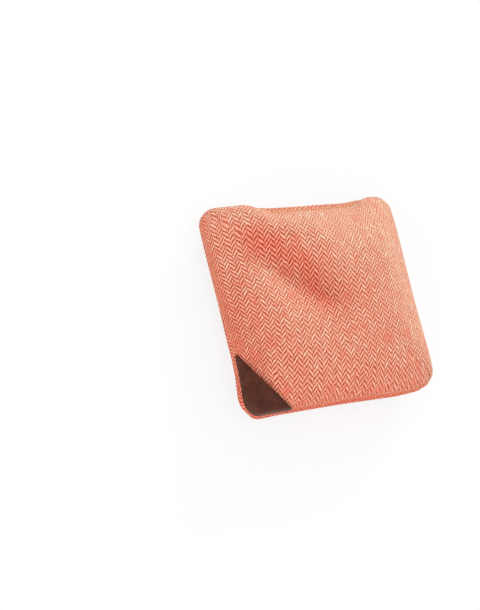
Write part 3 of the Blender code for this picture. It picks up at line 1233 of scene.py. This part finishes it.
@dataclass(frozen=True)
class HerringboneFinish:
    """The shell's cloth: light strokes on a dark ground, mottled, with soft fibres, painted light and shade
    by slope and fold, and painted orange shade along the seam.
    """

    weave: Weave
    light: Colour = (0.96, 0.41, 0.26)
    cream: Colour = (0.99, 0.61, 0.41)
    dark: Colour = (0.39, 0.044, 0.018)
    red: Colour = (0.80, 0.15, 0.082)
    # Painted orange shade for the seam's groove.
    orange: Colour = (0.86, 0.28, 0.12)
    # Tints for painted shade and painted highlight, and how far the ground pales under the painted highlight.
    painted_shade_tint: Colour = (0.97, 0.72, 0.73)
    along: Colour = (1.00, 1.35, 1.46)
    painted_paling: float = 0.34
    painted_paling_power: float = 2.6
    # How much of the painted orange seam shade there is at the seam.
    seam_shade_share: float = 0.55
    wander_scale: float = 240
    mottle_scale: float = 85
    speck_scale: float = 560
    grain_scale: float = 900
    fibre_scale: float = 2600
    fibre_stretch: Triple = (1.0, 0.45, 1.0)
    fibre_height: float = 0.35
    bump_depth: float = 0.00022
    stroke_softness: float = 0.18
    stroke_ends: Range = Range(0.42, 0.5, 1.0, 0.72)
    wandering: Range = Range(0.2, 0.8, -0.12, 0.12)
    frayed: Range = Range(0.25, 0.75, -0.13, 0.13)
    creamy: Range = Range(0.60, 1.0, 0.0, 0.60)
    specked: Range = Range(0.54, 0.68, 0.0, 0.60)
    hairy: Range = Range(0.35, 0.7, 0.0, 0.5)
    mottled: Range = Range(0.50, 0.72, 0.0, 0.42)
    roughness: Range = Range(0.3, 0.7, 0.78, 0.96)

    def make(self) -> bpy.types.Material:
        """Builds the material.

        Returns:
            The material.
        """
        board = Board("herringbone_cloth")
        cloth = board.lay("ShaderNodeUVMap", uv_map=CLOTH_MAP).outputs["UV"]
        lit, cell = self.strokes(board, cloth)
        noise = board.lay("ShaderNodeTexWhiteNoise", {"Vector": cell}, noise_dimensions="2D")
        stretched = board.lay("ShaderNodeVectorMath", {0: cloth, 1: self.fibre_stretch}, operation="MULTIPLY")
        fibre = board.noise(stretched.outputs[0], self.fibre_scale, 3.0)
        patch = board.noise(cloth, self.mottle_scale, 3.0)
        speck = board.noise(cloth, self.speck_scale)
        # Painted light and shade, and nearness to the seam for the painted seam shade.
        painted_light, near = board.value("painted_light"), board.value("painted_seam_shade")

        yarn = board.mix(board.ramp(noise.outputs["Value"], self.creamy), self.light, self.cream)
        yarn = board.mix(board.ramp(speck, self.specked), yarn, self.red)
        ground = board.mix(board.ramp(fibre, self.hairy), self.dark, self.red)
        # The ground pales towards the yarn where the painted highlight is.
        painted_paling = board.math("MULTIPLY", board.math("POWER", painted_light, self.painted_paling_power), self.painted_paling)
        colour = board.mix(lit, board.mix(painted_paling, ground, yarn), yarn)
        colour = board.mix(board.ramp(patch, self.mottled), colour, self.red)
        # Painted orange shade along the seam.
        colour = board.mix(board.math("MULTIPLY", near, self.seam_shade_share), colour, self.orange)
        # Painted shade and painted highlight, multiplied over the colour.
        colour = board.mix(1.0, colour, board.mix(painted_light, self.painted_shade_tint, self.along), "MULTIPLY")
        height = board.weighed(self.fibre_height, lit, fibre)
        board.surface(colour, board.ramp(fibre, self.roughness), height, self.bump_depth)
        board.set(Sheen_Weight=0.18, Sheen_Roughness=0.45, Sheen_Tint=(1.0, 0.80, 0.70, 1))
        board.set(Specular_IOR_Level=0.25)
        return board.material

    def strokes(self, board: Board, cloth: Socket) -> tuple[Socket, Socket]:
        """Lays the nodes of the weave, which follow the same steps as its relief.

        Args:
            board: The material's board.
            cloth: The places in the weave.

        Returns:
            How much there is of a light stroke, and the number pair of the stroke itself.
        """
        weave = self.weave
        parts = board.lay("ShaderNodeSeparateXYZ", {0: cloth}).outputs
        wander = board.ramp(board.noise(cloth, self.wander_scale), self.wandering)
        frayed = board.ramp(board.noise(cloth, self.grain_scale), self.frayed)
        place = board.math("DIVIDE", parts["X"], weave.column)
        column = board.math("FLOOR", place)
        odd = board.math("FLOORED_MODULO", column, 2.0)
        within = board.math("SUBTRACT", board.math("SUBTRACT", place, column), 0.5)
        turned = board.math("MULTIPLY", within, board.math("MULTIPLY_ADD", odd, -2.0, 1.0))
        rise = board.math("MULTIPLY", turned, weave.slant * weave.column / weave.repeat)
        phase = board.math("ADD", board.math("DIVIDE", parts["Y"], weave.repeat), rise)
        phase = board.math("ADD", phase, board.math("MULTIPLY", odd, weave.stagger))
        phase = board.math("ADD", phase, board.math("ADD", wander, frayed))
        row = board.math("FLOOR", phase)
        from_middle = board.math("SUBTRACT", board.math("SUBTRACT", phase, row), 0.5)
        stroke = board.math("MULTIPLY", board.math("ABSOLUTE", from_middle), 2.0)
        low, high = weave.light_share - self.stroke_softness, weave.light_share + self.stroke_softness
        body = board.ramp(stroke, Range(low, high, 1.0, 0.0))
        ends = board.ramp(board.math("ABSOLUTE", within), self.stroke_ends)
        cell = board.lay("ShaderNodeCombineXYZ", {0: column, 1: row}).outputs[0]
        return board.math("MULTIPLY", body, ends), cell


@dataclass(frozen=True)
class LabelFinish:
    """Dark brown imitation leather with a fine grain, a little rubbed."""

    base: Colour = (0.110, 0.030, 0.015)
    dark: Colour = (0.060, 0.015, 0.008)
    rubbed: Colour = (0.19, 0.065, 0.036)
    grain_scale: float = 2200
    grain_depth: float = 0.00008
    cloud_scale: float = 120
    cloud_height: float = 0.3
    rub_scale: float = 900
    pebbled: Range = Range(0.0, 0.35)
    clouded: Range = Range(0.3, 0.75)
    worn: Range = Range(0.58, 0.80, 0.0, 0.5)
    roughness: Range = Range(0.3, 0.8, 0.42, 0.62)

    def make(self) -> bpy.types.Material:
        """Builds the material.

        Returns:
            The material.
        """
        board = Board("brown_imitation_leather")
        place = board.place()
        wires = {"Vector": place, "Scale": self.grain_scale}
        grain = board.lay("ShaderNodeTexVoronoi", wires, feature="DISTANCE_TO_EDGE").outputs["Distance"]
        cloud = board.noise(place, self.cloud_scale, 4.0)
        rub = board.noise(place, self.rub_scale, 3.0)
        colour = board.mix(board.ramp(cloud, self.clouded), self.dark, self.base)
        colour = board.mix(board.ramp(rub, self.worn), colour, self.rubbed)
        height = board.weighed(self.cloud_height, board.ramp(grain, self.pebbled), cloud)
        board.surface(colour, board.ramp(rub, self.roughness), height, self.grain_depth)
        board.set(Specular_IOR_Level=0.12)
        return board.material


@dataclass(frozen=True)
class ThreadFinish:
    """Sewing thread with the twist of its plies."""

    name: str
    base: Colour
    dark: Colour
    twist_scale: float = 900
    twist_share: float = 0.7
    fibre_scale: float = 5200
    fibre_height: float = 0.3
    bump_depth: float = 0.00008
    roughness: Range = Range(0.3, 0.7, 0.55, 0.8)

    def make(self) -> bpy.types.Material:
        """Builds the material.

        Returns:
            The material.
        """
        board = Board(self.name)
        place = board.place()
        wires = {"Vector": place, "Scale": self.twist_scale, "Distortion": 1.2, "Detail": 1.0}
        twist = board.lay("ShaderNodeTexWave", wires, bands_direction="DIAGONAL").outputs["Fac"]
        fibre = board.noise(place, self.fibre_scale)
        colour = board.mix(board.math("MULTIPLY", twist, self.twist_share), self.dark, self.base)
        height = board.weighed(self.fibre_height, twist, fibre)
        board.surface(colour, board.ramp(fibre, self.roughness), height, self.bump_depth)
        board.set(Sheen_Weight=0.2, Sheen_Roughness=0.4)
        return board.material


@dataclass(frozen=True)
class CalicoFinish:
    """The inner pouch's plain natural cloth, with its flecks."""

    base: Colour = (0.72, 0.66, 0.54)
    gap: Colour = (0.48, 0.42, 0.32)
    fleck: Colour = (0.40, 0.30, 0.19)
    yarns: float = 2300
    fleck_scale: float = 700
    fleck_share: float = 0.6
    bump_depth: float = 0.0001
    flecked: Range = Range(0.68, 0.80)
    filled: Range = Range(0.1, 0.6)
    roughness: Range = Range(0.0, 1.0, 0.95, 0.85)

    def make(self) -> bpy.types.Material:
        """Builds the material.

        Returns:
            The material.
        """
        board = Board("natural_calico")
        place = board.place()
        bands = {"Vector": place, "Scale": self.yarns / math.tau, "Distortion": 0.4}
        warp = board.lay("ShaderNodeTexWave", bands, bands_direction="X").outputs["Fac"]
        weft = board.lay("ShaderNodeTexWave", bands, bands_direction="Y").outputs["Fac"]
        yarn = board.math("MULTIPLY", board.math("ADD", warp, weft), 0.5)
        fleck = board.ramp(board.noise(place, self.fleck_scale), self.flecked)
        colour = board.mix(board.ramp(yarn, self.filled), self.gap, self.base)
        colour = board.mix(board.math("MULTIPLY", fleck, self.fleck_share), colour, self.fleck)
        board.surface(colour, board.ramp(yarn, self.roughness), yarn, self.bump_depth)
        board.set(Sheen_Weight=0.1)
        return board.material


@dataclass(frozen=True)
class PelletFinish:
    """Pale plastic pellets that differ a little from one another."""

    base: Colour = (0.78, 0.78, 0.74)
    dull: Colour = (0.60, 0.60, 0.57)
    pellet_scale: float = 290
    scuff_scale: float = 2400
    bump_depth: float = 0.00004
    roughness: Range = Range(0.3, 0.7, 0.3, 0.5)

    def make(self) -> bpy.types.Material:
        """Builds the material.

        Returns:
            The material.
        """
        board = Board("plastic_pellets")
        place = board.place()
        cells = board.lay("ShaderNodeTexVoronoi", {"Vector": place, "Scale": self.pellet_scale})
        scuff = board.noise(place, self.scuff_scale, 3.0)
        chance = board.lay("ShaderNodeSeparateColor", {0: cells.outputs["Color"]}).outputs[0]
        colour = board.mix(chance, self.dull, self.base)
        board.surface(colour, board.ramp(scuff, self.roughness), scuff, self.bump_depth)
        return board.material


# The bag


@dataclass
class TossBag:
    """The sewn bag's two outer panels, which everything else on it and in it follows."""

    sewn_side: float = SEWN_SIDE
    crown: float = 0.023
    cloth: float = 0.0012
    allowance: float = 0.0095
    pinch: float = 0.0048
    front_fullness: float = 1.9
    back_fullness: float = 2.0
    front_sides: BySide = BySide(left=0.70, right=0.80, bottom=1.8, top=0.80)
    front_left_slope: float = 1.5
    cells: int = 72
    corner_hold: float = 0.60
    seam_hold: float = 0.30
    weave: Weave = Weave()

    def __post_init__(self) -> None:
        """Works out what follows from the sizes and the frame."""
        self.half = self.sewn_side / 2
        self.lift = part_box("front_panel")[0].z
        self.settling = Settling(self.half, self.crown)
        self.front_dome = Dome(
            Layer.FRONT,
            self.half,
            self.crown,
            self.front_fullness,
            pinch=self.pinch,
            pinch_kept=self.settling.pinch_kept,
            by_side=self.front_sides,
            left_slope=self.front_left_slope,
        )
        self.back_dome = Dome(
            Layer.BACK,
            self.half,
            self.lift,
            self.back_fullness,
            pinch=self.pinch,
            pinch_kept=self.settling.back_pinch_kept,
        )

    def lining(self, layer: Layer, half: float, height: float, base: float) -> Dome:
        """The form of something inside the bag, with its rim at base from the seam's plane."""
        dome = self.front_dome if layer is Layer.FRONT else self.back_dome
        return replace(dome, half=half, height=height, base=base, pinch=0.0, pinch_kept=None)

    def settled_skin(self, dome: Dome, cells: int) -> Array:
        """A dome's lattice, about the plane of the seam, once the bag has settled."""
        return self.settling.settled(dome.points(*dome.lattice(cells)))

    def filled_shell(self) -> tuple[Array, Array]:
        """Fills the sewn shell and lets it settle.

        Returns:
            The front's and the back's lattices, about the plane of the seam.
        """
        u, v = self.front_dome.lattice(self.cells)
        front, back = self.front_dome.points(u, v), self.back_dome.points(u, v)
        to_seam = 1 - np.maximum(np.abs(u), np.abs(v))
        free = ease(to_seam / self.seam_hold) * (1 - ease(np.abs(u * v) / self.corner_hold))
        front, back = self.inflated(front, back, free)
        return self.settling.settled(front), self.settling.settled(back)

    def inflated(self, front: Array, back: Array, free: Array) -> tuple[Array, Array]:
        """Runs the cloth simulation on the two panels, sewn together at their rims.

        Args:
            front: The front's lattice.
            back: The back's lattice, whose rim is the front's.
            free: The share of its movement that each lattice point keeps.

        Returns:
            Both lattices, filled, with their own heights.
        """
        count = (self.cells + 1) ** 2
        ring = rim(self.cells)
        inside = np.setdiff1d(np.arange(count), ring)
        numbers = np.empty(count, int)
        numbers[ring] = ring
        numbers[inside] = count + np.arange(len(inside))
        points = np.concatenate([front.reshape(-1, 3), back.reshape(-1, 3)[inside]])
        under = numbers[quads(self.cells)][:, ::-1]
        kept = np.concatenate([free.ravel(), free.ravel()[inside]])
        filled = Inflation().run(points, np.concatenate([quads(self.cells), under]), ring, kept)
        upper = filled[:count].reshape(front.shape)
        lower = filled[numbers].reshape(back.shape)
        upper[..., 2] *= front[..., 2].max() / upper[..., 2].max()
        lower[..., 2] *= back[..., 2].min() / lower[..., 2].min()
        return upper, lower

    def panel(self, layer: Layer, shape: Array) -> ClothPanel:
        """One of the two outer panels.

        Args:
            layer: Which panel it is.
            shape: Its settled lattice.

        Returns:
            The panel, not yet built.
        """
        name = "front_cloth" if layer is Layer.FRONT else "back_cloth"
        flat_half = self.front_dome.flat_half()
        panel = ClothPanel(name, layer, shape, flat_half, self.cloth, self.allowance, self.lift)
        return replace(panel, weave=self.weave, folds=self.settling.folds)

    def build(self) -> ClothPanel:
        """Builds the two outer panels.

        Returns:
            The front panel's description, which the label follows.
        """
        finish = HerringboneFinish(self.weave).make()
        front_shape, back_shape = self.filled_shell()
        front = self.panel(Layer.FRONT, front_shape)
        back = self.panel(Layer.BACK, back_shape)
        for panel, node in ((front, "front_panel"), (back, "back_panel")):
            piece = panel.build()
            piece.data.materials.append(finish)
            placed(piece, "shell_cloth", node)
        return front


@dataclass
class CornerLabel:
    """The triangle of imitation leather folded over the front's near left corner.

    lean is how far its cut edge's face leans back, and stand_off is how far that edge comes away
    from the cloth in its middle.
    """

    left_leg: float = LABEL_LEFT_LEG
    bottom_leg: float = LABEL_BOTTOM_LEG
    thickness: float = 0.0008
    clearance: float = 0.0003
    lean: float = 0.3
    edge_round: float = 0.00022
    edge_angle: float = math.radians(50)
    stand_off: float = 0.0005
    stand_off_reach: float = 0.006
    ripple: float = 0.00012
    ripples: int = 40

    def __post_init__(self) -> None:
        """Works out where the cut edge starts and how it runs."""
        self.half = SEWN_SIDE / 2
        self.along = Vector((self.bottom_leg, -self.left_leg, 0)).normalized()
        self.out = Vector((-self.along.y, self.along.x, self.lean)).normalized()

    def build(self, panel: ClothPanel) -> bpy.types.Object:
        """Builds the label over the front panel, folded in at both its seams.

        Args:
            panel: The front panel.

        Returns:
            The piece.
        """
        skin = panel.skin()
        mesh = self.corner_of(panel, skin)
        cut = Vector((self.bottom_leg - self.half, -self.half, panel.lift))
        self.lift_off(mesh, cut, skin.shape[0] - 1)
        whole = mesh.verts[:] + mesh.edges[:] + mesh.faces[:]
        bmesh.ops.bisect_plane(mesh, geom=whole, plane_co=cut, plane_no=self.out, clear_outer=True)
        data = bpy.data.meshes.new("corner_label_leather")
        mesh.to_mesh(data)
        mesh.free()
        data.shade_smooth()
        data.materials.append(LabelFinish().make())
        piece = bpy.data.objects.new("corner_label_leather", data)
        bpy.context.scene.collection.objects.link(piece)
        hide = piece.modifiers.new("Thickness", "SOLIDIFY")
        hide.thickness = self.thickness
        hide.offset = 1
        hide.use_even_offset = True
        rounded = piece.modifiers.new("Edge", "BEVEL")
        rounded.width = self.edge_round
        rounded.segments = 2
        rounded.angle_limit = self.edge_angle
        flat_area = self.bottom_leg * self.left_leg / 2
        flat_area += (self.bottom_leg + self.left_leg) * panel.allowance
        return placed(piece, "label", "corner_label")

    def corner_of(self, panel: ClothPanel, skin: Array) -> bmesh.types.BMesh:
        """Copies the cloth near the corner, with the hem that is turned in there.

        Args:
            panel: The front panel.
            skin: The front panel's outer skin.

        Returns:
            The copy.
        """
        cells = skin.shape[0] - 1
        ring = rim(cells)
        around = np.arange(4 * cells)
        following = np.roll(around, -1)
        cloth = skin.reshape(-1, 3)
        hem = panel.hem_ring(cloth[ring], panel.allowance, 0)
        strips = np.stack([ring[following], ring, len(cloth) + around, len(cloth) + following], axis=1)
        points = np.concatenate([cloth, hem])
        points[:, 2] += panel.seam_gap + panel.lift
        faces = np.concatenate([quads(cells), strips])
        share = (points[:, 0] + self.half) / self.bottom_leg + (points[:, 1] + self.half) / self.left_leg
        near = share < 2
        start = new_piece("label_start", points, faces[near[faces].all(axis=1)])
        mesh = bmesh.new()
        mesh.from_mesh(start.data)
        bpy.data.objects.remove(start, do_unlink=True)
        loose = [vertex for vertex in mesh.verts if not vertex.link_faces]
        bmesh.ops.delete(mesh, geom=loose, context="VERTS")
        mesh.normal_update()
        return mesh

    def lift_off(self, mesh: bmesh.types.BMesh, cut: Vector, cells: int) -> None:
        """Lifts the copied cloth off the panel, most of all at the middle of its cut edge.

        Args:
            mesh: The copied cloth.
            cut: The lower end of the cut edge.
            cells: How many cells the panel's skin has each way.
        """
        middle = Vector((self.bottom_leg / 2 - self.half, self.left_leg / 2 - self.half, cut.z))
        length = math.hypot(self.bottom_leg, self.left_leg)
        bumps = smooth_noise((cells + 1, cells + 1), self.ripples, SEED)
        moves = []
        for vertex in mesh.verts:
            inside = -(vertex.co - cut).dot(self.out)
            from_middle = np.array((vertex.co - middle).dot(self.along) / (length / 2))
            free = float(bell(np.array(inside), self.stand_off_reach) * hump(from_middle))
            column, row = (int((place / self.half + 1) / 2 * cells) % cells for place in vertex.co[:2])
            away = self.clearance + self.stand_off * free + self.ripple * abs(float(bumps[column, row]))
            moves.append(vertex.normal * away * vertex.calc_shell_factor())
        for vertex, move in zip(mesh.verts, moves):
            vertex.co += move


def tube(path: Array, radius: float, sides: int, tip: float = 0.3) -> tuple[Array, Array]:
    """A round tube swept along a path, narrowed at each of its ends.

    Args:
        path: The points of its middle line.
        radius: Its radius.
        sides: How many sides it has.
        tip: The share of its radius that its ends have.

    Returns:
        Its points and its faces.
    """
    run = unit(np.gradient(path, axis=0))
    first = unit(np.cross(run, NEVER_ALONG))
    second = np.cross(run, first)
    turn = np.linspace(0, math.tau, sides, endpoint=False)[None, :, None]
    thick = np.full((len(path), 1, 1), radius)
    thick[[0, -1]] = radius * tip
    points = path[:, None] + thick * (np.cos(turn) * first[:, None] + np.sin(turn) * second[:, None])
    step, side = np.meshgrid(np.arange(len(path) - 1), np.arange(sides), indexing="ij")
    here, there = (step * sides + side).ravel(), (step * sides + (side + 1) % sides).ravel()
    return points.reshape(-1, 3), np.stack([here, there, there + sides, here + sides], axis=1)


@dataclass(frozen=True)
class ClosingStitch:
    """The two-ply thread laced to and fro across the top seam, where the bag was filled.

    slack is how much longer the thread is than the seam it closes, at least, dip is the share of
    its stand-off that it loses at each bite, and square is how flat the tops of its laces are.
    """

    length: float = 0.083
    offset: float = 0.0055
    pitch: float = 0.0035
    bite: float = 0.0011
    out: float = 0.0004
    dip: float = 0.4
    square: float = 1.25
    slack: float = 1.5
    ply: float = 0.00026
    twist: float = 0.0016
    step: float = 0.00012
    sides: int = 6
    finish: ThreadFinish = ThreadFinish("coral_thread", (1.0, 0.56, 0.29), (0.92, 0.40, 0.18))

    def build(self, bag: TossBag) -> bpy.types.Object:
        """Builds the thread along the bag's top seam.

        Args:
            bag: The sewn bag.

        Returns:
            The piece.
        """
        middle = self.middle_line(bag)
        reach = run_lengths(middle)
        run = unit(np.gradient(middle, axis=0))
        side = unit(np.cross(run, (0.0, 1.0, 0.0)))
        above = np.cross(run, side)
        points, faces = [], []
        for start in (0, math.pi):
            turn = (reach / self.twist * math.tau + start)[:, None]
            ply = middle + self.ply * (np.cos(turn) * side + np.sin(turn) * above)
            ply_points, ply_faces = tube(ply, self.ply, self.sides)
            faces.append(ply_faces + sum(len(part) for part in points))
            points.append(ply_points)
        count = len(points[0])
        caps = [list(range(self.sides))[::-1], list(range(count - self.sides, count))]
        caps += [[index + count for index in cap] for cap in caps]
        piece = new_piece("closing_thread", np.concatenate(points), np.concatenate(faces).tolist() + caps)
        piece.data.materials.append(self.finish.make())
        return placed(piece, "shell_thread", "closing_stitch")

    def middle_line(self, bag: TossBag) -> Array:
        """The line about which the plies are twisted.

        Args:
            bag: The sewn bag.

        Returns:
            Its points.
        """
        share = np.linspace(0, 1, int(self.length * self.slack / self.step))
        across = self.offset + self.length * (share - 0.5)
        lace = np.sin(share * math.pi * 2 * round(self.length / self.pitch))
        out = bag.half + self.out * (1 - self.dip * np.abs(lace))
        rise = self.bite * np.clip(self.square * lace, -1, 1)
        middle = bag.settling.settled(np.stack([across, out, rise], axis=1))
        middle[:, 2] += bag.lift
        return middle


@dataclass(frozen=True)
class InnerPouch:
    """The plain pouch that holds the pellets, hidden in the bag."""

    half: float = 0.0591
    crown: float = 0.0178
    depth: float = 0.0160
    cloth: float = 0.0006
    allowance: float = 0.0055
    cells: int = 40
    factor: int = 3

    def build(self, bag: TossBag) -> None:
        """Builds both halves.

        Args:
            bag: The sewn bag.
        """
        finish = CalicoFinish().make()
        halves = ((Layer.FRONT, self.crown, "pouch_front"), (Layer.BACK, self.depth, "pouch_back"))
        for layer, height, node in halves:
            dome = bag.lining(layer, self.half, height - self.cloth, self.cloth)
            shape, flat_half = bag.settled_skin(dome, self.cells), dome.flat_half()
            panel = ClothPanel(
                node + "_cloth", layer, shape, flat_half, self.cloth, -self.allowance, bag.lift, self.factor
            )
            piece = panel.build()
            piece.data.materials.append(finish)
            placed(piece, "pouch_cloth", node)


@dataclass(frozen=True)
class PelletHeap:
    """The pellets: a core with the outermost pellets set into it.

    scatter, in spacings, and tilt are how far the pellets are moved and turned at random, and
    smallest is the size that the smallest pellet has to the largest.
    """

    half: float = 0.0570
    crown: float = 0.0158
    depth: float = 0.0151
    spacing: float = 0.0040
    scatter: float = 0.3
    pellet: float = 0.0019
    smallest: float = 0.85
    tilt: float = 0.5
    flatness: float = 0.72
    core_inset: float = 0.0016
    cells: int = 36

    def build(self, bag: TossBag) -> bpy.types.Object:
        """Builds the heap.

        Args:
            bag: The sewn bag.

        Returns:
            The piece.
        """
        draw = np.random.default_rng(SEED)
        grain, grain_faces = self.grain()
        grains, core = [], []
        for layer, height in ((Layer.FRONT, self.crown), (Layer.BACK, self.depth)):
            dome = bag.lining(layer, self.half, height, 0.0)
            skin = bag.settled_skin(dome, self.cells)
            core.append((skin - layer.value * normals(skin) * self.core_inset).reshape(-1, 3))
            middle = bag.settling.settled(dome.points(*self.scattered(dome, draw)))
            out = layer.value * normals(middle)
            for place, away in zip(middle.reshape(-1, 3), out.reshape(-1, 3)):
                leaning = Vector(away + draw.uniform(-self.tilt, self.tilt, 3))
                turn = np.array(leaning.to_track_quat("Z", "Y").to_matrix())
                size = self.pellet * draw.uniform(self.smallest, 1.0)
                grains.append(grain * size @ turn.T + place - away * self.pellet)
        starts = np.arange(len(grains)) * len(grain)
        faces = (starts[:, None, None] + grain_faces).reshape(-1, 3).tolist()
        core_points, core_faces = self.closed(core, len(grains) * len(grain))
        points = np.concatenate([*grains, core_points])
        points[:, 2] += bag.lift
        piece = new_piece("pellet_heap", points, faces + core_faces)
        piece.data.materials.append(PelletFinish().make())
        return placed(piece, "pellets", "pellet_fill")

    def scattered(self, dome: Dome, draw: np.random.Generator) -> tuple[Array, Array]:
        """Where the pellets lie over a dome: in rows, each a little off its place.

        Args:
            dome: The dome.
            draw: What the moves are drawn from.

        Returns:
            Places across and up the unit square.
        """
        many = int(2 * self.half / self.spacing)
        marks = dome.even_steps(2 * (many // 2))[1:-1]
        at_u, at_v = np.meshgrid(marks, marks, indexing="ij")
        moved_u = at_u + draw.uniform(-self.scatter, self.scatter, at_u.shape) / many
        return moved_u, at_v + draw.uniform(-self.scatter, self.scatter, at_v.shape) / many

    def closed(self, core: list[Array], start: int) -> tuple[Array, list[list[int]]]:
        """The core's two skins as one closed shell.

        Args:
            core: The points of its front and of its back.
            start: The number that its first point has in the piece.

        Returns:
            Its points and its faces.
        """
        front, back = core
        ring = rim(self.cells)
        inside = np.setdiff1d(np.arange(len(front)), ring)
        numbers = np.empty(len(front), int)
        numbers[ring] = start + ring
        numbers[inside] = start + len(front) + np.arange(len(inside))
        cells = quads(self.cells)
        faces = np.concatenate([start + cells, numbers[cells][:, ::-1]])
        return np.concatenate([front, back[inside]]), faces.tolist()

    def grain(self) -> tuple[Array, Array]:
        """One pellet, a flattened ball of unit radius.

        Returns:
            Its points and its faces.
        """
        mesh = bmesh.new()
        bmesh.ops.create_icosphere(mesh, subdivisions=2, radius=1)
        points = np.array([vertex.co for vertex in mesh.verts]) * (1, 1, self.flatness)
        faces = np.array([[vertex.index for vertex in face.verts] for face in mesh.faces])
        mesh.free()
        return points, faces


@dataclass(frozen=True)
class HiddenRows:
    """The sewn rows inside the seam allowance, whose solids are shown as they are."""

    shell_rows: tuple[str, ...] = (
        "seam_stitch_front",
        "seam_stitch_back",
        "safety_stitch_front",
        "safety_stitch_back",
    )
    pouch_rows: tuple[str, ...] = ("pouch_stitch_front", "pouch_stitch_back")
    shell: ThreadFinish = ThreadFinish("coral_seam_thread", (0.83, 0.28, 0.13), (0.48, 0.11, 0.05))
    natural: ThreadFinish = ThreadFinish("natural_thread", (0.78, 0.74, 0.65), (0.55, 0.50, 0.41))

    def dress(self) -> None:
        """Gives each row its thread's finish."""
        for names, thread in ((self.shell_rows, self.shell), (self.pouch_rows, self.natural)):
            finish = thread.make()
            for name in names:
                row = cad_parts[name]
                row.data.materials.clear()
                row.data.materials.append(finish)
                log.info("%s is dressed as thread", name)


# The studio


@dataclass(frozen=True)
class Lamp:
    """A distant light: where it comes from, how strong it is and how wide it looks."""

    name: str
    comes_from: Triple
    strength: float
    width: float

    def hang(self) -> None:
        """Puts the light in the scene."""
        lamp = bpy.data.lights.new(self.name, "SUN")
        lamp.energy = self.strength
        lamp.angle = self.width
        light = bpy.data.objects.new(self.name, lamp)
        light.rotation_euler = Vector(self.comes_from).to_track_quat("Z", "Y").to_euler()
        bpy.context.scene.collection.objects.link(light)


@dataclass
class Studio:
    """The floor, the light and the camera.

    The camera stands where the photograph's stands over the bag: its place is given by the bag's
    middle and by its right and its front in the camera's own axes.
    """

    front_in_view: Triple = (0.283, 0.265, 0.922)
    right_in_view: Triple = (0.942, 0.104, -0.319)
    middle_in_view: Triple = (0.056, 0.004, -0.578)
    focal_in_heights: float = 800 / 610
    sensor_height: float = 36
    nearest: float = 0.01
    floor_side: float = 6.0
    floor_cells: int = 8
    floor_glow: float = 0.80
    floor_seen: Colour = (1.0, 0.97, 0.95)
    floor_bounce: Colour = (0.20, 0.09, 0.07)
    sun: Lamp = Lamp("key_light", (0.85, 1.0, 0.40), 1.5, 0.30)
    fill: Lamp = Lamp("low_fill_light", (-0.74, -0.86, 0.08), 1.9, 0.35)
    sky_side: Triple = (-0.2, -0.5, 0.8)
    sky_range: Place = (0.71, 0.97)

    def build(self, seam_height: float) -> None:
        """Builds it all.

        Args:
            seam_height: The height of the bag's seam, where its middle was measured.
        """
        self.camera(seam_height)
        self.floor()
        self.sun.hang()
        self.fill.hang()
        self.sky()
        bpy.context.scene.view_settings.view_transform = "Standard"

    def camera(self, seam_height: float) -> None:
        """Makes the camera.

        Args:
            seam_height: The height of the bag's middle.
        """
        front = Vector(self.front_in_view).normalized()
        right = Vector(self.right_in_view)
        right = (right - front * right.dot(front)).normalized()
        turn = Matrix((right, front.cross(right), front))
        place = -(turn @ Vector(self.middle_in_view)) + Vector((0, 0, seam_height))
        lens = bpy.data.cameras.new("camera")
        lens.sensor_fit = "VERTICAL"
        lens.sensor_height = self.sensor_height
        lens.lens = lens.sensor_height * self.focal_in_heights
        lens.clip_start = self.nearest
        camera = bpy.data.objects.new("camera", lens)
        camera.matrix_world = Matrix.Translation(place) @ turn.to_4x4()
        bpy.context.scene.collection.objects.link(camera)
        bpy.context.scene.camera = camera

    def floor(self) -> None:
        """Makes the white floor, which glows a little for the camera so that it stays white."""
        mesh = bmesh.new()
        cells = self.floor_cells
        bmesh.ops.create_grid(mesh, x_segments=cells, y_segments=cells, size=self.floor_side / 2)
        data = bpy.data.meshes.new("floor")
        mesh.to_mesh(data)
        mesh.free()
        floor = bpy.data.objects.new("floor", data)
        bpy.context.scene.collection.objects.link(floor)
        board = Board("white_floor")
        board.set(Roughness=0.9, Specular_IOR_Level=0.0)
        seen = board.seen()
        board.feed(board.shader.inputs["Base Color"], board.mix(seen, self.floor_bounce, self.floor_seen))
        glow = board.lay("ShaderNodeEmission", {"Color": (1, 1, 1, 1), "Strength": 1.0})
        share = board.math("MULTIPLY", seen, self.floor_glow)
        mixed = board.lay("ShaderNodeMixShader", {0: share, 1: board.shader.outputs[0], 2: glow.outputs[0]})
        board.feed(board.tree.nodes["Material Output"].inputs["Surface"], mixed.outputs[0])
        data.materials.append(board.material)

    def sky(self) -> None:
        """Makes the world: soft light, more from one side, and white where the camera sees it."""
        world = bpy.data.worlds.new("studio")
        world.use_nodes = True
        wiring = Wiring(world.node_tree)
        toward = wiring.lay("ShaderNodeTexCoord").outputs["Generated"]
        side = Vector(self.sky_side).normalized()
        facing = wiring.lay("ShaderNodeVectorMath", {0: toward, 1: side}, operation="DOT_PRODUCT")
        low, high = self.sky_range
        wires = {0: facing.outputs["Value"], 1: -1.0, 2: 1.0, 3: low, 4: high}
        soft = wiring.lay("ShaderNodeMapRange", wires).outputs[0]
        strength = wiring.lay("ShaderNodeMapRange", {0: wiring.seen(), 3: soft, 4: 1.0}).outputs[0]
        backdrop = wiring.tree.nodes["Background"]
        wiring.feed(backdrop.inputs["Color"], (1, 1, 1, 1))
        wiring.feed(backdrop.inputs["Strength"], strength)
        bpy.context.scene.world = world


def main() -> None:
    """Builds the bag and its studio, piece by piece."""
    logging.basicConfig(level=logging.INFO, format="%(name)s: %(message)s")
    bag = TossBag()
    front = bag.build()
    CornerLabel().build(front)
    ClosingStitch().build(bag)
    InnerPouch().build(bag)
    PelletHeap().build(bag)
    HiddenRows().dress()
    Studio().build(bag.lift)


if __name__ == "__main__":
    main()
